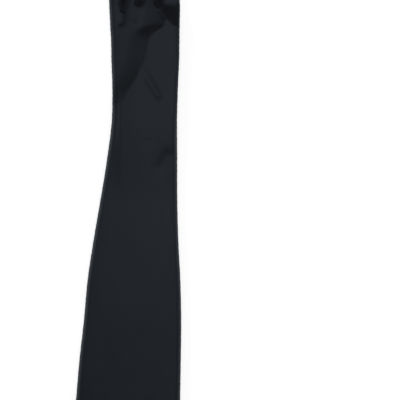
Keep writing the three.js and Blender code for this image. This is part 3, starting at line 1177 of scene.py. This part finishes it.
@dataclass(frozen=True)
class SatinFinish:
    """A satin's face or reverse, woven along the piece's own coordinates."""

    name: str
    light: tuple[float, float, float] = (0.0074, 0.0086, 0.0107)
    dark: tuple[float, float, float] = (0.0054, 0.0062, 0.0077)
    gloss_tint: tuple[float, float, float] = (0.70, 0.81, 1.0)
    roughness: float = 0.4
    roughness_spread: float = 0.06
    anisotropy: float = 0.55
    specular: float = 0.3
    cloud_size: tuple[float, float] = (26.0, 60.0)
    streak_size: tuple[float, float] = (1.1, 30.0)
    thread: float = 0.24
    float_length: float = 1.5
    float_offset: float = 0.4
    float_edge: float = 0.09
    weave: float = 0.12
    weave_height: float = 0.05
    slub: float = 0.1
    slub_height: float = 0.1

    def texture(
        self, tree: bpy.types.NodeTree, kind: str, size: Sequence[float], **inputs: float
    ) -> bpy.types.ShaderNode:
        """Adds a texture on the cloth's own coordinates.

        Args:
            tree: The material's nodes.
            kind: The texture node's type.
            size: The pattern's size across and along, in millimetres.
            inputs: The texture's other inputs.

        Returns:
            The texture node.
        """
        cloth = tree.nodes.new("ShaderNodeUVMap")
        cloth.uv_map = WEAVE_UV
        mapping = tree.nodes.new("ShaderNodeMapping")
        mapping.inputs["Scale"].default_value = (UV_SPAN / size[0], UV_SPAN / size[1], 1.0)
        texture = tree.nodes.new(kind)
        link(tree, cloth.outputs["UV"], mapping.inputs["Vector"])
        link(tree, mapping.outputs["Vector"], texture.inputs["Vector"])
        for key, value in inputs.items():
            texture.inputs[key.replace("_", " ")].default_value = value
        return texture

    def material(self) -> bpy.types.Material:
        """Builds the material.

        Returns:
            The material.
        """
        material, shader = new_material(self.name)
        tree = material.node_tree
        cloud = self.texture(tree, "ShaderNodeTexNoise", self.cloud_size, Scale=1.0, Detail=3.0)
        tone = tree.nodes.new("ShaderNodeMix")
        tone.data_type = "RGBA"
        tone.inputs["A"].default_value = (*self.dark, 1.0)
        tone.inputs["B"].default_value = (*self.light, 1.0)
        link(tree, cloud.outputs["Fac"], tone.inputs["Factor"])
        link(tree, tone.outputs["Result"], shader.inputs["Base Color"])

        streak = self.texture(tree, "ShaderNodeTexNoise", self.streak_size, Scale=1.0, Detail=4.0)
        spread = tree.nodes.new("ShaderNodeMapRange")
        spread.inputs["To Min"].default_value = self.roughness - self.roughness_spread
        spread.inputs["To Max"].default_value = self.roughness + self.roughness_spread
        link(tree, streak.outputs["Fac"], spread.inputs["Value"])
        link(tree, spread.outputs["Result"], shader.inputs["Roughness"])

        floats = self.texture(
            tree,
            "ShaderNodeTexBrick",
            (self.thread, self.float_length),
            Scale=1.0,
            Mortar_Size=self.float_edge,
            Mortar_Smooth=1.0,
            Brick_Width=1.0,
            Row_Height=1.0,
        )
        floats.offset = self.float_offset
        mapping = floats.inputs["Vector"].links[0].from_node
        mapping.inputs["Rotation"].default_value = (0.0, 0.0, math.pi / 2)
        weave = tree.nodes.new("ShaderNodeBump")
        weave.invert = True
        weave.inputs["Strength"].default_value = self.weave
        weave.inputs["Distance"].default_value = self.weave_height * MM
        link(tree, floats.outputs["Fac"], weave.inputs["Height"])
        slub = tree.nodes.new("ShaderNodeBump")
        slub.inputs["Strength"].default_value = self.slub
        slub.inputs["Distance"].default_value = self.slub_height * MM
        link(tree, streak.outputs["Fac"], slub.inputs["Height"])
        link(tree, weave.outputs["Normal"], slub.inputs["Normal"])
        link(tree, slub.outputs["Normal"], shader.inputs["Normal"])

        tangent = tree.nodes.new("ShaderNodeTangent")
        tangent.direction_type = "UV_MAP"
        tangent.uv_map = WEAVE_UV
        link(tree, tangent.outputs["Tangent"], shader.inputs["Tangent"])
        shader.inputs["Anisotropic"].default_value = self.anisotropy
        shader.inputs["Specular IOR Level"].default_value = self.specular
        shader.inputs["Specular Tint"].default_value = (*self.gloss_tint, 1.0)
        return material


@dataclass(frozen=True)
class ThreadFinish:
    """Spun sewing thread, with its twist."""

    name: str = "black_thread"
    colour: tuple[float, float, float] = (0.0075, 0.008, 0.009)
    roughness: float = 0.6
    specular: float = 0.2
    twist: float = 0.3
    twist_height: float = 0.05
    twists_per_mm: float = 1.2

    def material(self) -> bpy.types.Material:
        """Builds the material.

        Returns:
            The material.
        """
        material, shader = new_material(self.name)
        tree = material.node_tree
        place = tree.nodes.new("ShaderNodeTexCoord")
        wave = tree.nodes.new("ShaderNodeTexWave")
        wave.bands_direction = "DIAGONAL"
        wave.inputs["Scale"].default_value = self.twists_per_mm / MM
        link(tree, place.outputs["Object"], wave.inputs["Vector"])
        bump = tree.nodes.new("ShaderNodeBump")
        bump.inputs["Strength"].default_value = self.twist
        bump.inputs["Distance"].default_value = self.twist_height * MM
        link(tree, wave.outputs["Fac"], bump.inputs["Height"])
        link(tree, bump.outputs["Normal"], shader.inputs["Normal"])
        shader.inputs["Base Color"].default_value = (*self.colour, 1.0)
        shader.inputs["Roughness"].default_value = self.roughness
        shader.inputs["Specular IOR Level"].default_value = self.specular
        return material


@dataclass
class Finishes:
    """The glove's materials, each made once."""

    face: bpy.types.Material
    reverse: bpy.types.Material
    fourchette: bpy.types.Material
    thread: bpy.types.Material

    @classmethod
    def made(cls) -> Finishes:
        """Builds every material.

        Returns:
            The finishes.
        """
        reverse = SatinFinish("satin_reverse", roughness=0.62, anisotropy=0.2, weave=0.3)
        across = SatinFinish("fourchette_satin", roughness=0.5, anisotropy=0.3, specular=0.2)
        return cls(
            face=SatinFinish("satin_face").material(),
            reverse=reverse.material(),
            fourchette=across.material(),
            thread=ThreadFinish().material(),
        )


@dataclass(frozen=True)
class Stitching:
    """A row of stitches along lines, made by Geometry Nodes."""

    spacing: float = 2.3
    length: float = 1.5
    thickness: float = 0.26
    jitter: float = 0.12
    seed: int = 7
    sides: int = 8
    rings: int = 6

    def tree(self) -> bpy.types.NodeTree:
        """Builds the node tree.

        Returns:
            The tree, whose inputs are named for the stitches' sizes.
        """
        tree = bpy.data.node_groups.new("stitch_line", "GeometryNodeTree")
        face = tree.interface
        face.new_socket("Geometry", in_out="INPUT", socket_type="NodeSocketGeometry")
        for name in ("Spacing", "Length", "Thickness", "Jitter"):
            face.new_socket(name, in_out="INPUT", socket_type="NodeSocketFloat")
        face.new_socket("Seed", in_out="INPUT", socket_type="NodeSocketInt")
        face.new_socket("Thread", in_out="INPUT", socket_type="NodeSocketMaterial")
        face.new_socket("Geometry", in_out="OUTPUT", socket_type="NodeSocketGeometry")
        node = tree.nodes.new
        given, made = node("NodeGroupInput"), node("NodeGroupOutput")

        curve = node("GeometryNodeMeshToCurve")
        even = node("GeometryNodeResampleCurve")
        even.mode = "LENGTH"
        link(tree, given.outputs["Geometry"], curve.inputs["Mesh"])
        link(tree, curve.outputs["Curve"], even.inputs["Curve"])
        link(tree, given.outputs["Spacing"], even.inputs["Length"])

        drop = node("GeometryNodeMeshUVSphere")
        drop.inputs["Segments"].default_value = self.sides
        drop.inputs["Rings"].default_value = self.rings
        drop.inputs["Radius"].default_value = 0.5
        size = node("ShaderNodeCombineXYZ")
        link(tree, given.outputs["Length"], size.inputs["X"])
        link(tree, given.outputs["Thickness"], size.inputs["Y"])
        link(tree, given.outputs["Thickness"], size.inputs["Z"])
        shaped = node("GeometryNodeTransform")
        link(tree, drop.outputs["Mesh"], shaped.inputs["Geometry"])
        link(tree, size.outputs["Vector"], shaped.inputs["Scale"])

        along = node("FunctionNodeAlignRotationToVector")
        along.axis = "X"
        tangent = node("GeometryNodeInputTangent")
        link(tree, tangent.outputs["Tangent"], along.inputs["Vector"])
        upright = node("FunctionNodeAlignRotationToVector")
        upright.axis, upright.pivot_axis = "Z", "X"
        lie = node("GeometryNodeInputNamedAttribute")
        lie.data_type = "FLOAT_VECTOR"
        lie.inputs["Name"].default_value = "lie"
        link(tree, along.outputs["Rotation"], upright.inputs["Rotation"])
        link(tree, lie.outputs["Attribute"], upright.inputs["Vector"])

        least = node("ShaderNodeMath")
        least.operation = "SUBTRACT"
        least.inputs[0].default_value = 1.0
        link(tree, given.outputs["Jitter"], least.inputs[1])
        vary = node("FunctionNodeRandomValue")
        vary.data_type = "FLOAT"
        floats = [socket for socket in vary.inputs if socket.type == "VALUE"]
        link(tree, least.outputs["Value"], floats[0])
        floats[1].default_value = 1.0
        link(tree, given.outputs["Seed"], vary.inputs["Seed"])
        drawn = [socket for socket in vary.outputs if socket.type == "VALUE"][0]

        placed = node("GeometryNodeInstanceOnPoints")
        link(tree, even.outputs["Curve"], placed.inputs["Points"])
        link(tree, shaped.outputs["Geometry"], placed.inputs["Instance"])
        link(tree, upright.outputs["Rotation"], placed.inputs["Rotation"])
        link(tree, drawn, placed.inputs["Scale"])
        real = node("GeometryNodeRealizeInstances")
        soft = node("GeometryNodeSetShadeSmooth")
        finish = node("GeometryNodeSetMaterial")
        link(tree, placed.outputs["Instances"], soft.inputs["Geometry"])
        link(tree, soft.outputs["Geometry"], real.inputs["Geometry"])
        link(tree, real.outputs["Geometry"], finish.inputs["Geometry"])
        link(tree, given.outputs["Thread"], finish.inputs["Material"])
        link(tree, finish.outputs["Geometry"], made.inputs["Geometry"])
        return tree

    def sew(
        self,
        name: str,
        lines: Sequence[tuple[np.ndarray, np.ndarray]],
        thread: bpy.types.Material,
    ) -> bpy.types.Object:
        """Sews stitches along lines.

        Args:
            name: The piece's name.
            lines: Each line's points, in millimetres, and the outward directions there.
            thread: The thread's material.

        Returns:
            The stitches, as one plain mesh.
        """
        points, edges, lies = [], [], []
        for line, normals in lines:
            start = len(points)
            points += in_metres(line).tolist()
            lies += normals.tolist()
            edges += [(start + i, start + i + 1) for i in range(len(line) - 1)]
        path = bpy.data.meshes.new(name + "_path")
        path.from_pydata(points, edges, [])
        attribute = path.attributes.new("lie", "FLOAT_VECTOR", "POINT")
        attribute.data.foreach_set("vector", [value for lie in lies for value in lie])
        carrier = bpy.data.objects.new(name + "_path", path)
        bpy.context.scene.collection.objects.link(carrier)
        modifier = carrier.modifiers.new("stitches", "NODES")
        modifier.node_group = self.tree()
        values = {
            "Spacing": self.spacing * MM,
            "Length": self.length * MM,
            "Thickness": self.thickness * MM,
            "Jitter": self.jitter,
            "Seed": self.seed,
            "Thread": thread,
        }
        for socket in modifier.node_group.interface.items_tree:
            if socket.in_out == "INPUT" and socket.name in values:
                modifier[socket.identifier] = values[socket.name]
        graph = bpy.context.evaluated_depsgraph_get()
        mesh = bpy.data.meshes.new_from_object(carrier.evaluated_get(graph))
        carrier.modifiers.remove(modifier)
        bpy.data.objects.remove(carrier)
        mesh.name = name
        made = bpy.data.objects.new(name, mesh)
        bpy.context.scene.collection.objects.link(made)
        return made


@dataclass
class SatinShell:
    """The sewn shell: the back and the palm, the three fourchettes and the turned-in hem."""

    cloth: float = 0.8
    hem_gap: float = 0.2
    mouth_x: float = 37.0
    mouth_station: float = 448.0
    mouth_half_width: float = 17.0
    mouth_half_length: float = 23.0
    flat: float = 0.7
    fold_steps: int = 8
    fold_runs: tuple[float, ...] = (0.8, 1.6)
    relief: Relief = field(default_factory=Relief)
    glove: GloveSkin = field(default_factory=GloveSkin)
    outer: np.ndarray = field(default_factory=lambda: np.empty((0, 3)))
    normals: np.ndarray = field(default_factory=lambda: np.empty((0, 3)))
    topstitch: np.ndarray = field(default_factory=lambda: np.empty(0, int))

    def prepare(self) -> None:
        """Builds the surface that all the pieces share."""
        self.glove.build()
        rings = self.glove.hem_rings
        skin = self.glove.skin
        stations = [skin.xyz()[ring.index[0], 1] for ring in rings]
        row = int(np.argmin(np.abs(np.array(stations) - self.glove.topstitch)))
        self.topstitch = np.append(rings[row].index, rings[row].index[0])
        self.outer, self.normals = self.relief.apply(skin, skin.seams, [self.topstitch])

    def in_mouth(self, points: np.ndarray) -> np.ndarray:
        """Returns how far points lie from the middle of the thumb's mouth, 1 at its edge."""
        across = (points[:, 0] - self.mouth_x) / self.mouth_half_width
        return np.hypot(across, (points[:, 1] - self.mouth_station) / self.mouth_half_length)

    def cut_mouth(
        self, faces: Sequence[tuple[int, ...]], layers: Sequence[np.ndarray], facing: np.ndarray
    ) -> list[int]:
        """Cuts the oval that the thumb is sewn into.

        Args:
            faces: The faces of the cloth.
            layers: The points of its outer and its inner side, which are moved onto the oval.
            facing: Which points face the oval.

        Returns:
            The numbers of the faces that are kept.
        """
        away = self.in_mouth(layers[0])
        inside = set(np.flatnonzero(facing & (away < 1.0)).tolist())
        kept = [k for k, face in enumerate(faces) if not all(i in inside for i in face)]
        centre = np.array([self.mouth_x, self.mouth_station])
        for i in sorted({i for k in kept for i in faces[k] if i in inside}):
            for layer in layers:
                layer[i, :2] = centre + (layer[i, :2] - centre) / away[i]
        return kept

    def lip(self) -> tuple[Skin, np.ndarray, np.ndarray]:
        """Folds the cloth inwards round the cuff's edge.

        Returns:
            The fold's faces, and the points of its outer and its inner side.
        """
        radius, small = self.glove.fold_radius, self.glove.fold_radius - self.cloth
        turns = np.linspace(math.pi / 2, -math.pi / 2, self.fold_steps + 1)[1:]
        profile = [(math.cos(a), math.sin(a), 0.0) for a in turns]
        profile += [(0.0, -1.0, run) for run in self.fold_runs]
        start = self.glove.hem_rings[0]
        first, folded, rings = start.index, Skin(), [start]
        count = len(self.outer)
        layers: tuple[list[np.ndarray], list[np.ndarray]] = ([], [])
        for k, (out, up, run) in enumerate(profile):
            for layer, r in zip(layers, (radius, small)):
                block = self.outer[first] - self.normals[first] * (radius - r * up)
                block[:, 1] += run - r * out
                layer.append(block)
            uv = start.uv.copy()
            uv[:, 1] -= (radius * (1 - up) + run) / UV_SPAN
            rings.append(Ring(np.arange(len(first)) + count + k * len(first), uv))
        for lower, upper in zip(rings, rings[1:]):
            folded.band(upper, lower, self.glove.skin.labels[: len(first)])
        return folded, np.vstack(layers[0]), np.vstack(layers[1])

    def panels(self, finishes: Finishes) -> list[bpy.types.Object]:
        """Makes the back and the palm, each from the cuff to its fingertips.

        Args:
            finishes: The glove's materials.

        Returns:
            The two pieces.
        """
        skin = self.glove.skin
        folded, lip_outer, lip_inner = self.lip()
        outer = np.vstack([self.outer, lip_outer])
        inner = np.vstack([self.outer - self.normals * self.cloth, lip_inner])
        normals = np.vstack([self.normals, np.zeros_like(lip_outer)])
        faces, labels = skin.faces + folded.faces, skin.labels + folded.labels
        uvs = skin.uvs + folded.uvs
        kept = self.cut_mouth(faces, (outer, inner), normals[:, 2] < -self.flat)
        made = []
        for name in (BACK, PALM):
            chosen = [k for k in kept if labels[k] == name]
            mesh = ClothMesh(outer, inner, [faces[k] for k in chosen], [uvs[k] for k in chosen])
            piece = mesh.object("satin_" + name, [finishes.face, finishes.reverse])
            made.append(dress(piece, Slot.SATIN, name))
        return made

    def part(
        self,
        node: str,
        depth: float,
        finishes: Sequence[bpy.types.Material],
        slot: Slot,
        faces: Sequence[int],
    ) -> bpy.types.Object:
        """Makes a piece from some of the skin's faces.

        Args:
            node: The model's node that it stands for.
            depth: How deep under the skin the cloth's outer side lies.
            finishes: The materials of its face and its reverse.
            slot: The record's material slot.
            faces: The numbers of the skin's faces.

        Returns:
            The piece.
        """
        skin = self.glove.skin
        outer = self.outer - self.normals * depth
        inner = outer - self.normals * self.cloth
        chosen = [skin.faces[k] for k in faces]
        mesh = ClothMesh(outer, inner, chosen, [skin.uvs[k] for k in faces])
        return dress(mesh.object("satin_" + node, finishes), slot, node)

    def fourchettes(self, finishes: Finishes) -> list[bpy.types.Object]:
        """Makes the three strips between the fingers.

        Args:
            finishes: The glove's materials.

        Returns:
            The strips.
        """
        skin = self.glove.skin
        names = sorted({label for label in skin.labels if label.startswith("fourchette")})
        made = []
        for name in names:
            faces = [k for k, label in enumerate(skin.labels) if label == name]
            pair = [finishes.fourchette, finishes.reverse]
            made.append(self.part(name, 0.0, pair, Slot.FOURCHETTE, faces))
        return made

    def hem(self, finishes: Finishes) -> bpy.types.Object:
        """Makes the satin that is turned in at the cuff.

        Args:
            finishes: The glove's materials.

        Returns:
            The hem.
        """
        rings = self.glove.hem_rings
        stations = [self.glove.skin.xyz()[ring.index[0], 1] for ring in rings]
        first = sum(station < 2 * self.glove.fold_radius for station in stations) + 1
        last = sum(station <= self.glove.hem_depth for station in stations)
        across = len(rings[0].index)
        faces = list(range(first * across, (last - 1) * across))
        depth = self.cloth + self.hem_gap
        pair = [finishes.reverse, finishes.face]
        return self.part("cuff_hem", depth, pair, Slot.HEM, faces)


@dataclass
class Thumb:
    """The thumb's stall, flat under the palm, with the oval that it is sewn in at."""

    cloth: float = 0.8
    edge_round: float = 5.0
    most_round: float = 0.4
    least_loft: float = 0.6
    columns: int = 16
    edge_steps: int = 7
    row_step: float = 2.2
    row_crowding: float = 0.6
    seam_radius: float = 0.5
    seam_sink: float = 0.4
    seam_steps: int = 96
    seam_sides: int = 10
    seam_weave: float = 30.0
    relief: Relief = field(default_factory=lambda: Relief(groove=0.4, wave=0.25, wave_along=22.0))
    outline: SmoothTable = field(default_factory=lambda: SmoothTable(THUMB_OUTLINE))

    def rows(self) -> list[float]:
        """Places the rows, close together at the heel and the tip.

        Returns:
            Their stations.
        """
        first, last = THUMB_OUTLINE[0].station, THUMB_OUTLINE[-1].station
        share = np.linspace(0, 1, round((last - first) / self.row_step) + 1)
        eased = (1 - np.cos(math.pi * share)) / 2
        crowded = lerp(share, eased, self.row_crowding)
        return list(first + (last - first) * crowded)[1:-1]

    def skin(self) -> Skin:
        """Builds the stall's outer surface.

        Returns:
            The surface.
        """
        skin = Skin()
        middle = max(row.loft for row in THUMB_OUTLINE) / 2
        angles = np.linspace(math.pi / 2, -math.pi / 2, 2 * self.edge_steps + 3)[1:-1]
        rings, seam = [], []
        for station in self.rows():
            inner, outer, loft = self.outline.at(station)
            loft = max(loft, self.least_loft)
            reach = min(self.edge_round, self.most_round * (outer - inner))
            x = np.linspace(inner + reach, outer - reach, self.columns + 1)
            sides = []
            for side, corner in ((-1, x[0]), (1, x[-1])):
                across = corner + side * reach * np.cos(angles)
                z = middle + loft / 2 * np.sin(angles)
                sides.append(skin.add(across, np.full(len(angles), station), z))
            back = skin.add(x, station, middle + loft / 2)
            palm = skin.add(x, station, middle - loft / 2)
            rings.append(skin.ring(Parts(back, sides[1], palm, sides[0])))
            seam.append(sides[0][len(angles) // 2])
        for lower, upper in zip(rings, rings[1:]):
            skin.band(lower, upper, ["thumb"] * len(lower.index))
        ends = ((THUMB_OUTLINE[0], rings[0], True), (THUMB_OUTLINE[-1], rings[-1], False))
        for row, ring, turned in ends:
            pole = int(skin.add(np.array([row.inner]), row.station, middle)[0])
            skin.cap(ring, pole, (row.inner, row.station), ["thumb"] * len(ring.index), turned)
        skin.seams.append(np.array(seam))
        return skin

    def build(self, shell: SatinShell, finishes: Finishes) -> list[bpy.types.Object]:
        """Makes the stall and the seam round its mouth.

        Args:
            shell: The shell that the thumb is sewn to.
            finishes: The glove's materials.

        Returns:
            The two pieces.
        """
        skin = self.skin()
        outer, normals = self.relief.apply(skin, skin.seams, [])
        inner = outer - normals * self.cloth
        kept = shell.cut_mouth(skin.faces, (outer, inner), normals[:, 2] > shell.flat)
        faces = [skin.faces[k] for k in kept]
        mesh = ClothMesh(outer, inner, faces, [skin.uvs[k] for k in kept])
        piece = mesh.object("satin_thumb", [finishes.face, finishes.reverse])
        stall = dress(piece, Slot.SATIN, "thumb")
        return [stall, self.mouth_seam(shell, finishes)]

    def mouth_seam(self, shell: SatinShell, finishes: Finishes) -> bpy.types.Object:
        """Makes the narrow welt between the palm and the thumb.

        Args:
            shell: The shell that the thumb is sewn to.
            finishes: The glove's materials.

        Returns:
            The welt.
        """
        steps, sides, span = self.seam_steps, self.seam_sides, self.seam_weave
        turn = np.linspace(0, 2 * math.pi, steps, endpoint=False)
        x = shell.mouth_x + shell.mouth_half_width * np.cos(turn)
        station = shell.mouth_station + shell.mouth_half_length * np.sin(turn)
        top = max(row.loft for row in THUMB_OUTLINE) - self.seam_sink
        points, faces = [], []
        for i in range(steps):
            out = np.array([math.cos(turn[i]), math.sin(turn[i])])
            for k in range(sides):
                a = 2 * math.pi * k / sides
                offset = self.seam_radius * math.cos(a) * out
                height = top + self.seam_radius * (1 + math.sin(a))
                points.append((x[i] + offset[0], station[i] + offset[1], height))
                j, n = (i + 1) % steps, (k + 1) % sides
                faces.append((i * sides + k, j * sides + k, j * sides + n, i * sides + n))
        uvs = []
        for i in range(steps):
            for k in range(sides):
                u, v, w = k / span, i / span, (i + 1) / span
                uvs.append(((u, v), (u, w), (u + 1 / span, w), (u + 1 / span, v)))
        material = [finishes.face]
        welt = mesh_object("satin_thumb_seam", in_metres(np.array(points)), faces, material, (), uvs)
        return dress(welt, Slot.SATIN)


@dataclass
class Sewing:
    """The stitches that show: the hem's two rows and the thread in the seams."""

    hem: Stitching = field(default_factory=Stitching)
    seam: Stitching = field(
        default_factory=lambda: Stitching(spacing=2.0, length=1.1, thickness=0.2, seed=11)
    )

    def build(self, shell: SatinShell, finishes: Finishes) -> list[bpy.types.Object]:
        """Sews the hem and the seams.

        Args:
            shell: The shell that is sewn.
            finishes: The glove's materials.

        Returns:
            The rows of stitches.
        """
        rows = shell.topstitch
        deep = 2 * shell.cloth + shell.hem_gap
        outside = (shell.outer[rows], shell.normals[rows])
        inside = (shell.outer[rows] - shell.normals[rows] * deep, -shell.normals[rows])
        seams = [(shell.outer[line], shell.normals[line]) for line in shell.glove.skin.seams]
        return [
            dress(self.hem.sew("hem_stitches", [outside, inside], finishes.thread), Slot.HEM),
            dress(self.seam.sew("seam_thread", seams, finishes.thread), Slot.SATIN),
        ]


@dataclass(frozen=True)
class Softbox:
    """A soft light panel that faces the middle of the view, placed and sized in metres."""

    name: str
    place: tuple[float, float, float]
    width: float
    height: float
    power: float


@dataclass(frozen=True)
class Studio:
    """The pale table, the soft light and the camera straight above.

    The floor's half width and the camera's clip distances are in metres, and the other
    lengths are in millimetres.
    """

    centre: tuple[float, float] = (88.2, -2.2)
    view_width: float = 480.0
    lens: float = 135.0
    sensor: float = 36.0
    clip: tuple[float, float] = (0.05, 60.0)
    subject_height: float = 10.0
    floor_half: float = 12.0
    floor_colour: tuple[float, float, float] = (0.86, 0.86, 0.86)
    floor_roughness: float = 0.9
    floor_glow: float = 0.68
    floor_drop: float = 0.2
    sky_heights: tuple[float, ...] = (0.0, 0.06, 0.2, 0.4, 0.7, 1.0)
    sky_tones: tuple[float, ...] = (0.9, 0.8, 0.34, 0.18, 0.115, 0.16)
    lights: tuple[Softbox, ...] = (
        Softbox("softbox_top", (0.25, 0.25, 2.4), 1.5, 1.5, 10.5),
        Softbox("softbox_left", (-2.4, 0.2, 0.9), 1.0, 2.0, 16.0),
        Softbox("softbox_right", (2.6, 0.0, 0.9), 1.0, 2.0, 11.0),
    )

    def floor(self) -> bpy.types.Object:
        """Makes the pale table.

        Returns:
            The table.
        """
        material, shader = new_material("pale_table")
        shader.inputs["Base Color"].default_value = (*self.floor_colour, 1.0)
        shader.inputs["Roughness"].default_value = self.floor_roughness
        shader.inputs["Emission Color"].default_value = (1.0, 1.0, 1.0, 1.0)
        shader.inputs["Emission Strength"].default_value = self.floor_glow
        h, z = self.floor_half, -self.floor_drop * MM
        corners = np.array([(-h, -h, z), (h, -h, z), (h, h, z), (-h, h, z)])
        table = mesh_object("pale_floor", corners, [(0, 1, 2, 3)], [material])
        return table

    def sky(self) -> None:
        """Makes the room's dim light, bright at the horizon and darker above it."""
        world = bpy.data.worlds.new("studio")
        bpy.context.scene.world = world
        world.use_nodes = True
        tree = world.node_tree
        background = tree.nodes["Background"]
        place = tree.nodes.new("ShaderNodeTexCoord")
        split = tree.nodes.new("ShaderNodeSeparateXYZ")
        tones = tree.nodes.new("ShaderNodeValToRGB")
        stops = tones.color_ramp.elements
        for k, (height, tone) in enumerate(zip(self.sky_heights, self.sky_tones)):
            stop = stops[k] if k < len(stops) else stops.new(height)
            stop.position, stop.color = height, (tone, tone, tone, 1.0)
        link(tree, place.outputs["Generated"], split.inputs["Vector"])
        link(tree, split.outputs["Z"], tones.inputs["Fac"])
        link(tree, tones.outputs["Color"], background.inputs["Color"])

    def light(self, box: Softbox) -> bpy.types.Object:
        """Makes one softbox.

        Args:
            box: Its place, size and power.

        Returns:
            The light.
        """
        data = bpy.data.lights.new(box.name, "AREA")
        data.shape, data.size, data.size_y = "RECTANGLE", box.width, box.height
        data.energy = box.power
        lamp = bpy.data.objects.new(box.name, data)
        lamp.location = box.place
        target = Vector((self.centre[0] * MM, self.centre[1] * MM, 0.0))
        lamp.rotation_euler = (target - Vector(box.place)).to_track_quat("-Z", "Y").to_euler()
        lamp.visible_camera = False
        bpy.context.scene.collection.objects.link(lamp)
        return lamp

    def camera(self) -> bpy.types.Object:
        """Makes the camera, which looks straight down.

        Returns:
            The camera.
        """
        data = bpy.data.cameras.new("camera")
        data.lens, data.sensor_width = self.lens, self.sensor
        data.clip_start, data.clip_end = self.clip
        distance = self.view_width * self.lens / self.sensor
        camera = bpy.data.objects.new("camera", data)
        height = (self.subject_height + distance) * MM
        camera.location = (self.centre[0] * MM, self.centre[1] * MM, height)
        bpy.context.scene.collection.objects.link(camera)
        bpy.context.scene.camera = camera
        return camera

    def build(self) -> None:
        """Sets up the table, the light and the camera."""
        bpy.context.scene.view_settings.view_transform = "Standard"
        self.floor()
        self.sky()
        for box in self.lights:
            self.light(box)
        self.camera()


def main() -> None:
    """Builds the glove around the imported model, piece by piece."""
    logging.basicConfig(level=logging.INFO, format="%(name)s: %(message)s")
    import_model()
    Studio().build()
    finishes = Finishes.made()
    shell = SatinShell()
    shell.prepare()
    shell.panels(finishes)
    shell.fourchettes(finishes)
    shell.hem(finishes)
    Thumb().build(shell, finishes)
    Sewing().build(shell, finishes)


if __name__ == "__main__":
    main()
